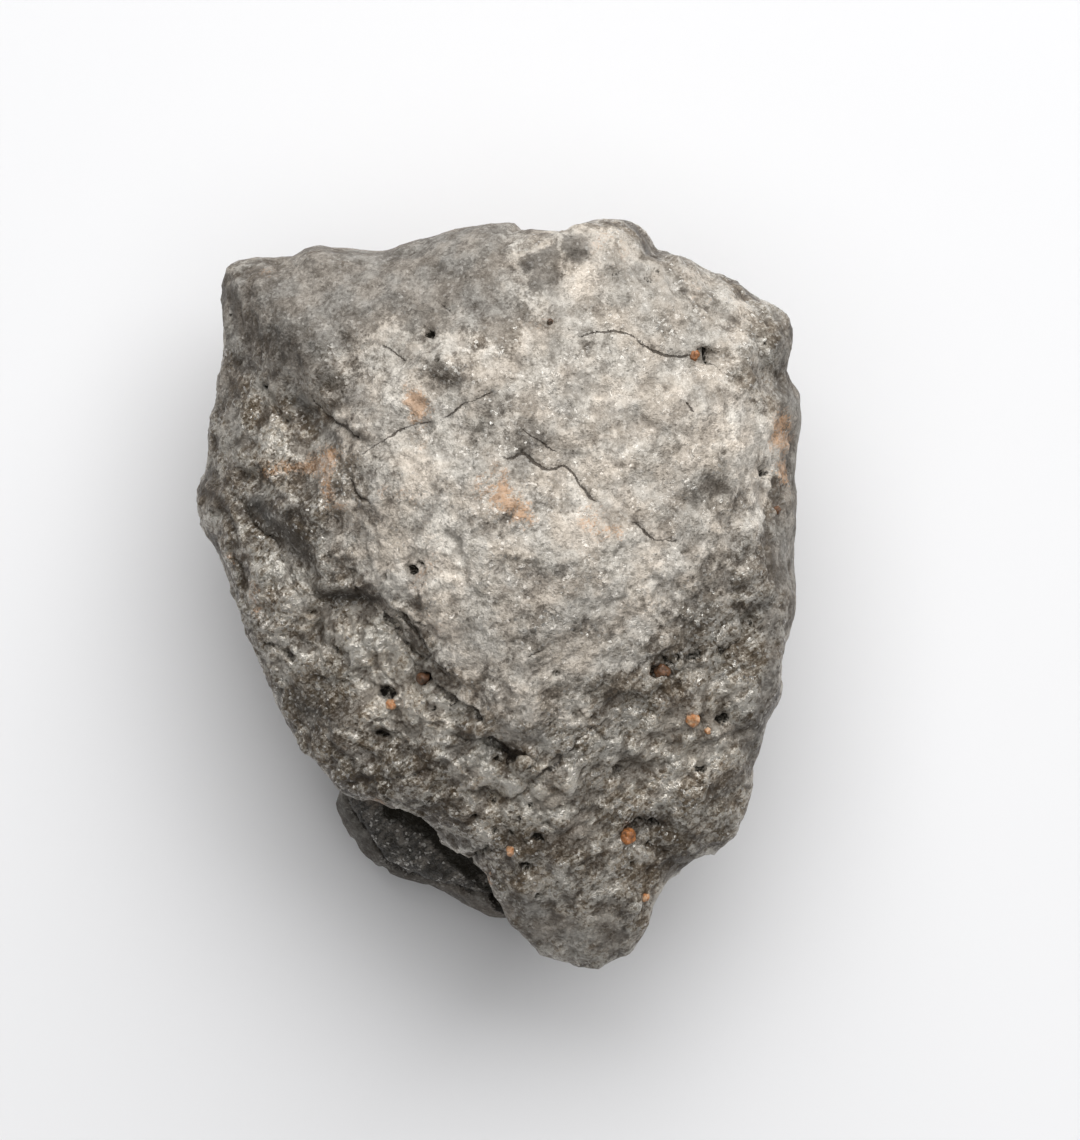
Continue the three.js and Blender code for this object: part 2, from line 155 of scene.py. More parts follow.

# Furrows: half width, depth, then points along the bottom. Each is also painted with shade along its bottom.
FURROWS = [
    (.09, .22, UPPER_FISSURE), (.09, .22, LOWER_FISSURE), (.07, .2, FISSURE_END), (.07, .22, NOSE_HOOK),
    (.10, .40, NOSE_STEP), (.10, .20, CORNER_FOLD), (.08, .20, SHELF_FOLD),
    (.07, .18, [(500, 796), (512, 789), (526, 783), (540, 776), (556, 763), (574, 747), (592, 731),
                (610, 716)]),
    (.09, .3, [(228, 491), (240, 498), (250, 513), (259, 526), (273, 536), (286, 546)]),
    (.10, .12, [(316, 590), (326, 602)]),
    (.15, .30, [(262, 380), (270, 392), (278, 408), (290, 424)]),
    (.30, .40, [(316, 612), (320, 628), (329, 642), (341, 650), (355, 655)]),
    (.15, .35, [(236, 462), (246, 472), (252, 480)]),
    (.16, .35, [(213, 470), (217, 482), (219, 492)]),
    (.14, .50, [(228, 543), (238, 560), (245, 575), (243, 590)]),
    (.16, .35, [(690, 358), (707, 358), (716, 368)]),
    (.25, .35, [(757, 330), (756, 352), (764, 370), (776, 382), (780, 398)]),
    (.14, .20, [(748, 388), (746, 404), (754, 417)]),
    (.13, .25, [(674, 655), (664, 663), (672, 682), (676, 700)]),
    (.16, .25, [(716, 655), (722, 646), (740, 628), (752, 612)]),
    (.13, .20, [(684, 745), (692, 757), (703, 764)]),
]

# Knobs stand up and hollows (negative) sink in: x, y, half length, half width, turn in degrees, height.
KNOBS = [
    (282, 592, 38, 30, 60, .55), (358, 634, 30, 22, 20, .3), (282, 655, 22, 18, 0, .25),
    (240, 540, 30, 15, -60, .4), (252, 442, 26, 24, 0, .5), (312, 375, 30, 14, -50, .25),
    (262, 360, 24, 12, -55, .25), (222, 510, 16, 22, 0, .35), (345, 745, 35, 28, 30, .3),
    (400, 770, 34, 24, -20, .25), (450, 765, 28, 20, -35, .35), (412, 712, 36, 28, -30, .25),
    (300, 510, 30, 22, 10, .3), (610, 245, 45, 26, 0, .35), (780, 335, 14, 30, 0, .5),
    (758, 402, 13, 14, 0, .2), (787, 400, 14, 28, 0, .35), (590, 925, 50, 36, 20, .35),
    (520, 900, 26, 24, 0, .2), (700, 790, 40, 36, 30, .25), (560, 835, 50, 30, -20, .2),
    (735, 690, 30, 34, 0, .25), (250, 285, 30, 24, 0, .35), (330, 262, 34, 14, 0, .3),
    (470, 245, 46, 18, 10, .3), (530, 765, 24, 12, -25, .3), (500, 690, 40, 24, -30, .2),
    (780, 600, 14, 26, 0, .3), (775, 680, 12, 24, 0, .3), (520, 520, 110, 80, 20, .35),
    (494, 788, 12, 13, 0, -.35), (305, 400, 34, 28, -50, -.55), (505, 752, 14, 10, 30, -.2),
    (700, 372, 40, 16, -10, -.25), (560, 460, 60, 22, -30, -.18), (400, 450, 60, 22, 20, -.2),
    (640, 830, 26, 16, 0, -.3), (720, 720, 18, 18, 0, -.2), (660, 668, 14, 12, 0, -.3),
    (280, 480, 30, 16, 10, -.35), (310, 700, 34, 30, 30, -.35), (360, 760, 20, 30, 0, -.2),
    (650, 720, 60, 40, 30, -.2), (600, 310, 80, 30, -20, -.15),
]

# Hairline cracks on the upper side: how open, then points.
CRACKS = [
    (.9, [(358, 459), (370, 453), (380, 446), (392, 438), (402, 433), (415, 429), (428, 427), (440, 423)]),
    (.8, [(436, 424), (450, 418), (458, 411), (467, 406), (476, 403), (487, 398), (497, 391)]),
    (1, [(518, 425), (528, 434), (535, 440), (543, 446), (550, 452), (562, 456)]),
    (1.2, [(495, 456), (510, 459), (522, 456), (530, 458), (535, 465), (545, 471), (555, 470), (564, 467),
           (572, 474), (578, 483), (586, 491), (592, 499), (600, 504)]),
    (.9, [(626, 521), (638, 528), (645, 535), (655, 540), (668, 541), (678, 539)]),
    (1.1, [(575, 341), (592, 336), (605, 334), (618, 334), (628, 339), (637, 346)]),
    (1.1, [(632, 343), (640, 349), (652, 354), (664, 358), (678, 360), (690, 358)]),
    (.7, [(705, 363), (712, 366), (718, 372), (730, 379), (743, 384)]),
    (.5, [(515, 331), (520, 323), (535, 322), (548, 325), (558, 328), (568, 332), (575, 337)]),
    (.6, [(385, 347), (395, 354), (405, 363)]),
    (.5, [(440, 305), (452, 316), (465, 330)]),
    (1, [(354, 478), (357, 490), (362, 498), (370, 500), (378, 505)]),
    (.8, [(685, 402), (689, 407), (692, 413)]),
    (.5, [(540, 578), (549, 581), (558, 586)]),
    (.5, [(548, 607), (562, 615), (575, 625)]),
    (.6, [(527, 656), (535, 652), (544, 650)]),
    (.9, [(272, 405), (285, 418), (292, 425)]),
    (.9, CORNER_FOLD), (.9, SHELF_FOLD),
    (.9, [(508, 794), (520, 788), (530, 781), (545, 773), (556, 764), (572, 749), (578, 738), (590, 728),
          (600, 720)]),
    (1.1, FISSURE_END), (.9, UPPER_FISSURE), (.9, LOWER_FISSURE), (1.3, NOSE_STEP), (.8, NOSE_HOOK),
    (.6, [(452, 734), (462, 738), (474, 740), (484, 738)]), (.5, [(478, 762), (480, 778), (481, 796)]),
]

# Pores on the upper side: x, y, radius in sheet units, depth.
PORES = [
    (413, 571, 4.2, .3), (421, 566, 3, .2), (389, 692, 6.5, .5), (381, 690, 4, .35), (430, 708, 4, .3),
    (382, 733, 4.5, .3), (397, 723, 3, .2), (416, 776, 3, .2), (312, 612, 3, .2), (386, 577, 3, .2),
    (427, 333, 5, .3), (437, 362, 3, .2), (445, 308, 2.5, .15), (268, 388, 4.5, .3), (226, 397, 3, .2),
    (217, 485, 4.5, .3), (235, 498, 4.5, .3), (705, 357, 6.5, .55), (615, 280, 6, .15), (650, 279, 7, .15),
    (766, 474, 6.5, .4), (555, 674, 4, .2), (686, 553, 3, .2), (747, 622, 4, .2), (719, 649, 3.5, .25),
    (695, 655, 5, .3), (677, 656, 4, .25), (684, 673, 4, .25), (721, 719, 5, .35), (702, 722, 3.5, .25),
    (700, 765, 4.5, .3), (474, 816, 4.5, .35), (427, 803, 3.5, .25), (497, 828, 3.5, .3), (488, 850, 5, .3),
    (530, 805, 3.5, .3), (535, 838, 5.5, .4), (525, 868, 4.5, .35), (540, 893, 4, .3), (512, 905, 3.5, .2),
    (639, 821, 5.5, .3), (652, 822, 5, .35), (650, 845, 5, .3), (338, 648, 3.5, .3), (422, 677, 6, .45),
    (657, 671, 5, .35), (666, 663, 4, .3), (675, 657, 3, .25), (497, 757, 3, .25), (544, 840, 3, .25),
    (509, 833, 3, .2), (519, 818, 2.5, .2), (545, 822, 3, .2), (472, 858, 4, .3), (558, 880, 3, .2),
    (618, 768, 5, .2), (632, 862, 3, .2), (492, 793, 6, .2), (487, 787, 5, .15), (480, 852, 4, .25),
]

# The smooth rim of the lobe: compass ways and the rim's width there.
LOBE_RIM = [(232, 240, 247, 257, 268), (0.55, 0.40, 0.02, 0.28, 0.55)]

# The border of the dusty top face.
DUST_BORDER = [
    (520, 238), (548, 230), (600, 224), (640, 238), (690, 268), (738, 298), (754, 330), (748, 380),
    (768, 410), (768, 450), (760, 490), (750, 540), (732, 582), (692, 608), (655, 642), (612, 678),
    (580, 706), (540, 716), (500, 700), (452, 668), (432, 640), (408, 606), (376, 584), (345, 560),
    (338, 520), (356, 480), (342, 440), (352, 400), (345, 355), (380, 335), (430, 328), (470, 345),
    (508, 335), (516, 300), (512, 262),
]

# Cream veins round the plates at the far edge.
VEINS = [
    (1, [(512, 262), (522, 258), (533, 254), (550, 247), (566, 240)]),
    (.8, [(562, 240), (561, 250), (562, 262), (560, 276)]),
    (.9, [(513, 262), (517, 272), (523, 284), (526, 290), (521, 300), (528, 307), (542, 311)]),
]

# Each place in the lists below, down to the patches, is an oval that fades outwards: x, y, half length, half
# width, turn in degrees, strength. The streaks between them are lines.

# Ochre stains.
OCHRE_STAINS = [
    (421, 411, 8, 12, 0, 1.4), (414, 398, 8, 12, 0, .5), (424, 442, 6, 10, 0, .4),
    (329, 459, 15, 8, 20, 1.4), (298, 468, 24, 6, -8, .9), (270, 474, 10, 6, 0, .9),
    (331, 486, 8, 15, 0, 1.0), (340, 508, 9, 5, 0, .6), (505, 500, 13, 22, 15, .8),
    (524, 514, 13, 13, -30, 1.0), (490, 488, 18, 18, 0, .3), (779, 430, 9, 17, 0, 1.6),
    (782, 476, 7, 12, 0, 1.0), (610, 534, 18, 9, 0, .45), (590, 515, 14, 12, 0, .35),
    (258, 595, 6, 20, 10, .6), (242, 385, 8, 8, 0, .5), (232, 558, 6, 12, 25, .6),
    (266, 270, 20, 10, 0, .2), (698, 300, 22, 14, -30, .22), (610, 250, 20, 24, 0, .16),
    (432, 590, 22, 50, 0, .16), (692, 718, 8, 8, 0, .5), (655, 668, 8, 8, 0, .4), (373, 803, 12, 5, 0, 1.3),
    (487, 880, 6, 9, 0, 1.5), (645, 896, 5, 6, 0, .4), (512, 848, 8, 5, 20, .4), (402, 500, 20, 14, 0, .3),
    (540, 325, 10, 7, 0, .3),
]

# Plates under a smooth grey film.
FILM_PATCHES = [
    (290, 290, 70, 50, 0, .9), (420, 280, 110, 60, -5, .9), (475, 290, 50, 60, 0, .7),
    (380, 320, 70, 30, 0, .6), (795, 420, 22, 150, 0, .8), (785, 560, 24, 60, 0, .6),
    (450, 235, 80, 20, 0, .5), (700, 265, 60, 20, 30, .4), (298, 378, 58, 34, -50, .6),
    (232, 410, 12, 70, 0, .6), (312, 708, 36, 24, -55, .5), (262, 520, 40, 16, -40, .4),
    (575, 935, 70, 34, 0, .6), (520, 915, 30, 30, 0, .5),
]

# Clean plates among the dust, ringed by veins.
PLATES = [(540, 267, 20, 10, 8, 1), (576, 257, 13, 12, 0, 1), (542, 291, 17, 8, 5, .9)]

# Broad strokes over the upper side: half width, paler (positive) or darker, how smooth, then points. Some
# darker ones are painted shade: beside the ridge by the corner fold, down the slope under the first ledge
# and inside the arch.
SHADE_AND_TONE_STREAKS = [
    (.35, -.55, .8, [(285, 338), (310, 352), (330, 372), (340, 395), (346, 415)]),
    (.35, -.75, .9, [(292, 392), (304, 406), (318, 424), (335, 438), (352, 448)]),
    (.13, -.5, 0, [(322, 394), (332, 412), (345, 425), (360, 436), (374, 448)]),
    (.16, .5, 0, [(262, 372), (268, 392), (280, 412), (290, 430)]),
    (.30, -.1, .8, [(233, 345), (230, 395), (232, 445), (226, 485)]),
    (.50, -.95, .8, [(246, 490), (262, 508), (282, 528), (300, 548), (316, 572)]),
    (.22, -.7, .4, [(283, 516), (300, 511), (318, 512)]),
    (.18, -.9, .6, [(318, 590), (335, 596), (355, 595), (372, 598), (384, 607)]),
    (.28, -.3, .5, [(330, 606), (350, 604), (372, 610)]),
    (.35, .4, 0, [(338, 622), (355, 632), (368, 640)]),
    (.14, -.5, .3, [(318, 625), (325, 638), (336, 648)]),
    (.5, .45, 0, [(352, 705), (372, 715), (400, 728)]),
    (.4, .5, 0, [(400, 690), (420, 705), (440, 728)]),
    (.14, -.5, .2, [(345, 742), (362, 752), (378, 750), (395, 746), (410, 748), (440, 742), (460, 750)]),
    (.2, .35, 0, [(335, 748), (350, 752), (362, 762)]),
    (.5, -.4, .6, [(295, 665), (303, 700), (318, 725)]),
    (.08, .25, 0, [(396, 614), (408, 628), (420, 644), (432, 659)]),
    (.4, -.25, .9, [(490, 705), (508, 728), (530, 738), (556, 718)]),
    (.12, -.5, .3, [(488, 733), (500, 742), (512, 750)]),
    (.10, -.5, .2, [(512, 752), (508, 764), (516, 772)]),
    (.10, .5, .2, [(512, 769), (525, 775), (540, 768)]),
    (.30, -.3, 0, [(606, 735), (600, 765), (600, 800), (606, 835)]),
    (.22, -.35, 0, [(484, 786), (496, 780), (500, 796)]),
    (.45, -.25, .7, [(765, 560), (770, 620), (768, 680), (755, 735), (742, 790)]),
    (.40, .25, .3, [(700, 690), (725, 688), (745, 690)]),
]

# Patches that are paler (positive) or darker than the rest, from the far edge down to the foot: partly the
# stone's own tones and partly painted light and shade, where faces turn towards or away from the lamps and
# on the lobe's shaded lower edge.
TONE_AND_SHADE_PATCHES = [
    (570, 245, 30, 16, 0, -.2), (575, 258, 12, 12, 10, -.7), (540, 267, 20, 11, 10, -.8),
    (542, 291, 16, 8, 0, -.7), (590, 291, 29, 20, 0, .61), (650, 295, 60, 44, 20, -.5),
    (395, 300, 16, 14, 0, -.15), (512, 300, 12, 20, 0, -.2), (240, 312, 14, 36, 0, .4),
    (565, 316, 22, 16, 0, -.25), (602, 325, 18, 14, 0, .3), (640, 330, 40, 40, 0, .15),
    (420, 335, 50, 34, 0, -.2), (480, 338, 26, 20, 0, .44), (360, 345, 34, 16, 0, -.3),
    (684, 350, 33, 32, 0, -.43), (270, 350, 30, 40, 0, -.15), (484, 362, 22, 26, 0, .3),
    (495, 370, 20, 22, 0, -.3), (780, 370, 10, 50, 0, -.2), (545, 375, 18, 16, 0, .2),
    (445, 378, 30, 14, -20, -.55), (298, 378, 50, 30, -50, -.3), (300, 380, 20, 18, 0, .3),
    (375, 380, 26, 16, 0, -.2), (690, 380, 30, 20, 0, .2), (725, 380, 16, 24, 0, -.15),
    (745, 388, 14, 12, 0, .3), (395, 390, 18, 22, 0, .3), (600, 400, 26, 20, 0, .3),
    (484, 404, 19, 23, 0, -.64), (232, 410, 12, 60, 0, -.15), (265, 410, 20, 26, -30, .25),
    (362, 410, 14, 14, 0, -.3), (332, 412, 19, 22, -34, .6), (570, 412, 18, 14, 0, -.3),
    (650, 415, 30, 12, -10, -.3), (720, 425, 26, 22, 0, .3), (305, 425, 34, 46, 0, .3),
    (480, 440, 20, 20, 0, -.25), (299, 441, 25, 18, -8, .8), (542, 440, 17, 13, 0, -.6),
    (247, 442, 24, 22, 0, .5), (609, 446, 28, 21, 0, .45), (530, 445, 30, 20, -30, -.6),
    (738, 440, 30, 44, 0, .4), (750, 455, 20, 40, 0, .3), (430, 470, 20, 14, 0, .2),
    (480, 470, 24, 18, 0, -.4), (332, 475, 22, 16, 0, .2), (205, 480, 12, 60, 0, -.3),
    (765, 490, 16, 50, 0, .35), (350, 492, 26, 14, 0, -.45), (684, 492, 36, 22, 10, -.45),
    (240, 500, 26, 20, -40, -.3), (570, 505, 16, 22, 0, .3), (735, 505, 18, 26, 0, -.35),
    (680, 510, 24, 36, 0, -.3), (500, 520, 18, 12, 0, -.35), (332, 530, 18, 18, 0, .25),
    (245, 540, 10, 26, 20, .3), (722, 545, 20, 26, 0, .4), (748, 548, 20, 24, 0, -.3),
    (435, 555, 32, 33, 0, .75), (359, 560, 20, 16, 0, .55), (760, 560, 14, 40, 0, .2),
    (530, 575, 30, 16, 0, -.35), (555, 572, 34, 20, 0, -.3), (750, 574, 20, 30, 0, -.35),
    (450, 575, 20, 26, 0, .2), (295, 578, 30, 28, 0, .45), (645, 585, 24, 26, 0, .2),
    (540, 592, 24, 16, 0, .3), (515, 600, 24, 22, 0, -.2), (590, 600, 40, 30, 0, -.25),
    (745, 605, 34, 30, 20, -.35), (232, 610, 16, 34, 20, -.2), (262, 618, 14, 14, 10, -.3),
    (715, 620, 30, 44, 20, -.3), (314, 621, 22, 15, 0, .8), (575, 625, 50, 30, 0, -.3),
    (367, 640, 38, 33, -5, .88), (530, 640, 70, 50, 0, -.3), (690, 645, 50, 26, 35, -.3),
    (660, 650, 20, 18, 0, .4), (270, 652, 22, 18, 0, .3), (392, 660, 20, 30, 0, .3),
    (375, 667, 28, 26, 0, .55), (300, 668, 14, 20, 0, .3), (690, 682, 20, 14, 0, -.2),
    (560, 690, 40, 20, 0, .15), (735, 690, 26, 20, 0, .25), (418, 692, 40, 26, -40, .3),
    (360, 690, 22, 14, 0, .4), (370, 700, 20, 20, 0, .3), (444, 696, 30, 22, -27, .72),
    (415, 708, 34, 22, -44, 1.13), (312, 708, 34, 22, -55, -.3), (598, 709, 20, 18, 0, .25),
    (330, 712, 22, 22, 0, -.4), (751, 712, 17, 20, 0, -.7), (699, 726, 31, 33, 0, 1.08),
    (482, 725, 18, 26, 0, .25), (672, 731, 33, 25, 0, .62), (742, 748, 20, 30, 0, .3),
    (505, 750, 14, 10, 0, -.6), (680, 760, 30, 26, 0, .3), (700, 752, 30, 34, 0, .35),
    (475, 762, 30, 14, -20, .4), (643, 772, 29, 22, 0, .8), (392, 772, 26, 16, 0, -.35),
    (470, 775, 30, 20, 0, .2), (565, 775, 40, 16, 40, .4), (380, 780, 50, 24, -10, -.25),
    (535, 782, 45, 25, 0, .9), (660, 792, 26, 19, 0, .42), (340, 800, 30, 12, -40, -.3),
    (535, 802, 37, 17, 0, 1.2), (375, 815, 40, 14, -30, -.2), (652, 815, 16, 12, 0, -.5),
    (640, 825, 34, 22, 0, -.25), (599, 832, 23, 20, 0, .87), (356, 837, 43, 24, -48, -.52),
    (560, 880, 30, 30, 0, .2), (420, 892, 60, 14, -25, -.7), (660, 905, 20, 24, 0, .3),
    (600, 945, 40, 20, 0, .3), (560, 950, 50, 14, 0, .35),
]

# Mineral grains in the pores: x, y, radius in sheet units, which colour (0 orange, 1 brown, 2 peach).
PORE_GRAINS = [
    (692, 359, 5, 0), (424, 678, 6, 1), (392, 704, 5, 2), (660, 671, 7, 1), (690, 718, 7, 2),
    (706, 729, 3, 2), (627, 834, 8, 0), (511, 848, 5, 2), (645, 896, 4, 2), (775, 510, 4, 1),
    (550, 325, 3, 1),
]
GRAIN_COLOURS = {"orange_grain": "brown_grain", "brown_grain": "crevice", "peach_grain": "orange_grain"}
GRAIN_STEPS = 12
GRAIN_FACES = 11
GRAIN_CRISPNESS = 12
GOLDEN_ANGLE = 137.5             # turns each of a grain's planes away from the last
FLAKE_LEAN = math.radians(38)    # compass way of the flaky streaks, seen from above
FLAKE_SIZE = (0.75, 0.14, 0.30)

# How strongly patches, blotches, flakes, grains and specks mottle each finish.
MOTTLE = {
    "stone": {"Patch": 1.4, "Blotch": 0.20, "Flake": 0.26, "Grain": 0.10, "Speck": 0.75},
    "film": {"Patch": 0.7, "Blotch": 0.16, "Flake": 0.0, "Grain": 0.15, "Speck": 0.6},
    "cover": {"Patch": 2.1, "Blotch": 0.22, "Flake": 0.1, "Grain": 0.2, "Speck": 0.5},
    "powder": {"Patch": 0.6, "Blotch": 0.14, "Flake": 0.0, "Grain": 0.2, "Speck": 0.8},
    "mineral": {"Blotch": 0.1, "Grain": 0.35, "Speck": 0.8},
}
CONTRAST = (0.36, 0.64)          # noise below the first is black and above the second white
CRYSTALS_PER_MM = 11.0
COARSE_PER_MM = 5.0
MINERAL_CRYSTALS_PER_MM = 10.0
STONE_IOR = 1.38
COOL_TINT = (0.985, 1.0, 1.0, 1.0)
WARM_TINT = (1.03, 0.995, 0.95, 1.0)
BUMP_DEPTH = 0.08 * MM
PAPER = (0.81, 0.81, 0.82)
FLOOR_HALF = 3000
TARGET = Vector((0.00137, 0.00073, 0.0066))    # what the camera and the lights look at, in metres
VIEW_WIDTH = 0.038                             # how much the camera sees across at the target, in metres
SENSOR_WIDTH = 36
LIGHT_WAYS = {"window": (0.20, 0.74, 0.64), "lamp": (0.05, 0.17, 0.98)}
LIGHT_DISTANCE = 0.40                          # both in metres
LIGHT_SIZE = 0.53

# ---------------------------------------------------------------- small helpers


def sheet(points):
    """Sheet places to millimetres; numbers past the first two are carried along."""
    p = np.array(points, float)
    p[:, 0] = (p[:, 0] - MIDDLE_X) * DRAWING_UNIT
    p[:, 1] = (MIDDLE_Y - p[:, 1]) * DRAWING_UNIT
    return p


def ease(start, stop, value):
    """0 before start, 1 after stop, and 3t^2 - 2t^3 between."""
    t = np.clip((value - start) / (stop - start), 0, 1)
    return t * t * (3 - 2 * t)


def between(value, start, full, fading, faded):
    """0 outside, 1 in the middle, eased up at the first two numbers and down at the last two."""
    return ease(start, full, value) * ease(faded, fading, value)


def facing(azimuth, tilt):
    """The unit vector with this compass way and tilt from straight up."""
    a = np.radians(azimuth)
    t = np.radians(tilt)
    return np.stack([np.sin(t) * np.cos(a), np.sin(t) * np.sin(a), np.cos(t) * np.ones_like(a)], -1)


def polar_knots(points):
    """Azimuth and radius of outline points, in order of azimuth."""
    p = sheet(points)
    azimuth = np.degrees(np.arctan2(p[:, 1], p[:, 0])) % 360
    order = np.argsort(azimuth)
    return azimuth[order], np.hypot(p[:, 0], p[:, 1])[order]


def radius_at(knots, azimuth, closed):
    """Cubic between knots whose slope at each knot is that of the line through its two neighbours."""
    a, r = knots
    if closed:
        a = np.concatenate([a[-2:] - 360, a, a[:2] + 360])
        r = np.concatenate([r[-2:], r, r[:2]])
    else:
        a = np.concatenate([[2 * a[0] - a[1]], a, [2 * a[-1] - a[-2]]])
        r = np.concatenate([[r[0]], r, [r[-1]]])
    slope = (r[2:] - r[:-2]) / (a[2:] - a[:-2])
    a = a[1:-1]
    r = r[1:-1]
    k = np.clip(np.searchsorted(a, azimuth) - 1, 0, len(a) - 2)
    span = a[k + 1] - a[k]
    t = np.clip((azimuth - a[k]) / span, 0, 1)
    start = (2 * t**3 - 3 * t**2 + 1) * r[k] + (t**3 - 2 * t**2 + t) * span * slope[k]
    stop = (3 * t**2 - 2 * t**3) * r[k + 1] + (t**3 - t**2) * span * slope[k + 1]
    return start + stop


def curve(points, pieces=6):
    """The smooth curve through sheet points (Catmull-Rom), in short straight pieces."""
    p = sheet(points)
    p = np.vstack([2 * p[0] - p[1], p, 2 * p[-1] - p[-2]])
    t = (np.arange(pieces) / pieces)[:, None, None]
    a, b, c, d = p[:-3], p[1:-2], p[2:-1], p[3:]
    q = 0.5 * (2 * b + (c - a) * t + (2 * a - 5 * b + 4 * c - d) * t**2 + (3 * b - a - 3 * c + d) * t**3)
    return np.vstack([q.transpose(1, 0, 2).reshape(-1, p.shape[1]), p[-2]])


def nearest(x, y, line):
    """Distance to a curve, side (left positive), part run, and the numbers the curve carries there."""
    best = np.full(x.shape, np.inf)
    side = np.zeros(x.shape)
    run = np.zeros(x.shape)
    carried = np.zeros(x.shape + (line.shape[1] - 2,))
    count = len(line) - 1
    for k in range(count):
        a, b = line[k], line[k + 1]
        sx, sy = b[0] - a[0], b[1] - a[1]
        dx, dy = x - a[0], y - a[1]
        t = np.clip((dx * sx + dy * sy) / (sx * sx + sy * sy), 0, 1)
        distance = np.hypot(dx - t * sx, dy - t * sy)
        near = distance < best
        best = np.where(near, distance, best)
        side = np.where(near, np.sign(sx * dy - sy * dx), side)
        run = np.where(near, (k + t) / count, run)
        if carried.shape[1]:
            carried[near] = a[2:] + (b[2:] - a[2:]) * t[near][:, None]
    return best, side, run, carried


def waves(p, length, seed, count=9):
    """A field of about -1 to 1: sines along directions that follow a golden-angle spiral."""
    total = 0
    for k in range(count):
        z = 1 - 2 * (k + 0.5) / count
        turn = 2.399963 * (k + seed * 1.7)
        s = math.sqrt(1 - z * z)
        rate = 2 * math.pi / (length * (0.75 + 0.5 * ((k * 0.618 + seed * 0.37) % 1)))
        along = p @ np.array([s * math.cos(turn), s * math.sin(turn), z]) * rate
        total = total + np.sin(along + 5.1 * k * seed + 1.3 * seed)
    return total / math.sqrt(count)


def lumpy(p, length, seed):
    """Waves bent by longer waves, so that no lump repeats."""
    bend = [waves(p, length * 1.3, seed + extra, 5) * length * 0.28 for extra in (11, 23, 37)]
    return waves(p + np.stack(bend, -1), length, seed)


def lattice(cell, seed):
    """A number from 0 to 1 for each whole-number cell, from an integer hash."""
    h = cell[..., 0] * 374761393 + cell[..., 1] * 668265263 + cell[..., 2] * 2147483647 + seed * 974634777
    h = (h ^ (h >> 13)) * 1274126177
    h = h ^ (h >> 16)
    return (h & 0xFFFFFF) / 0xFFFFFF


def grainy(p, length, seed):
    """Value noise, 0 to 1: hashed lattice numbers joined by smooth steps along each axis."""
    q = p / length
    cell = np.floor(q).astype(np.int64)
    t = q - cell
    t = t * t * (3 - 2 * t)
    total = 0
    for i in (0, 1):
        for j in (0, 1):
            for k in (0, 1):
                w = np.abs(1 - i - t[..., 0]) * np.abs(1 - j - t[..., 1]) * np.abs(1 - k - t[..., 2])
                total = total + w * lattice(cell + np.array([i, j, k]), seed)
    return total


def rough(p, length, seed, layers=3):
    """Layers of value noise, each half as long and half as strong as the last, centred on 0."""
    total = 0
    for k in range(layers):
        turned = p @ TURNS[(seed + k) % len(TURNS)]
        total = total + (grainy(turned, length / 2**k, seed + 7 * k) - 0.5) / 2**k
    return total


def turn_matrix(seed):
    """A rotation that sets one layer of noise off the axes of the next."""
    a, b = 0.9 + seed * 1.3, 0.4 + seed * 0.7
    ca, sa, cb, sb = math.cos(a), math.sin(a), math.cos(b), math.sin(b)
    about_z = np.array([[ca, -sa, 0], [sa, ca, 0], [0, 0, 1]])
    about_x = np.array([[1, 0, 0], [0, cb, -sb], [0, sb, cb]])
    return about_z @ about_x


TURNS = [turn_matrix(k) for k in range(7)]
FLAKE_TURN = np.array([[math.cos(FLAKE_LEAN), -math.sin(FLAKE_LEAN), 0],
                       [math.sin(FLAKE_LEAN), math.cos(FLAKE_LEAN), 0], [0, 0, 1]])


# ---------------------------------------------------------------- the stone's large shape

OUTLINE_KNOTS = polar_knots(OUTLINE)
LOBE_KNOTS = polar_knots(LOBE)
FACE_WAYS = [(facing(a, t), h) for a, t, h in FACES.values()]


def body_radius(d, side):
    """Rounded body: the power mean of the side wall's and every broad face's closeness."""
    total = (np.hypot(d[..., 0], d[..., 1]) / side) ** EDGE_CRISPNESS
    for way, distance in FACE_WAYS:
        total = total + np.clip(d @ way / distance, 0, None) ** EDGE_CRISPNESS
    return total ** (-1 / EDGE_CRISPNESS)


def widening_table(step=2):
    """For each compass way, how much wider the body must be for its widest part to meet the outline."""
    azimuth = np.arange(0, 360 + step, step, dtype=float)
    polar = np.arange(60, 121, 2, dtype=float)
    a, t = np.meshgrid(azimuth, polar, indexing="ij")
    side = radius_at(OUTLINE_KNOTS, a % 360, True)
    reach = (body_radius(facing(a, t), side) * np.sin(np.radians(t))).max(1)
    return azimuth, side[:, 0] / reach


WIDENING = widening_table()


def relief(x, y):
    """Ledges, furrows, knobs and hollows of the upper side, at each place seen from above.

    Returns the height added, and the painted shade, which follows how far the place lies in a furrow or on a
    ledge's riser (0 to 1)."""
    z = np.zeros(x.shape)
    painted_shade = np.zeros(x.shape)
    for reach, foot in LEDGES:
        distance, side, _, carried = nearest(x, y, curve(foot))
        low = np.where(side < 0, distance, -distance)
        fade = np.exp(-(np.clip(low, 0, None) / reach) ** 2)
        z -= carried[:, 0] * ease(0, 1, low / carried[:, 1] + 1) * fade
        # Painted shade on the riser below each ledge, stronger where the drop is large.
        riser = np.exp(-((low / carried[:, 1] + 0.35) / 0.6) ** 2)
        painted_shade = np.maximum(painted_shade, riser * ease(0.1, 0.9, carried[:, 0]) * 0.8)
    for width, depth, line in FURROWS:
        distance, _, run, _ = nearest(x, y, curve(line))
        furrow = between(run, 0, 0.15, 0.85, 1) * np.exp(-(distance / width) ** 2)
        z -= depth * furrow
        # Painted shade along each furrow, stronger the deeper it is.
        painted_shade = np.maximum(painted_shade, furrow * min(1, 2 * depth))
    return z + ovals(x, y, KNOBS), painted_shade


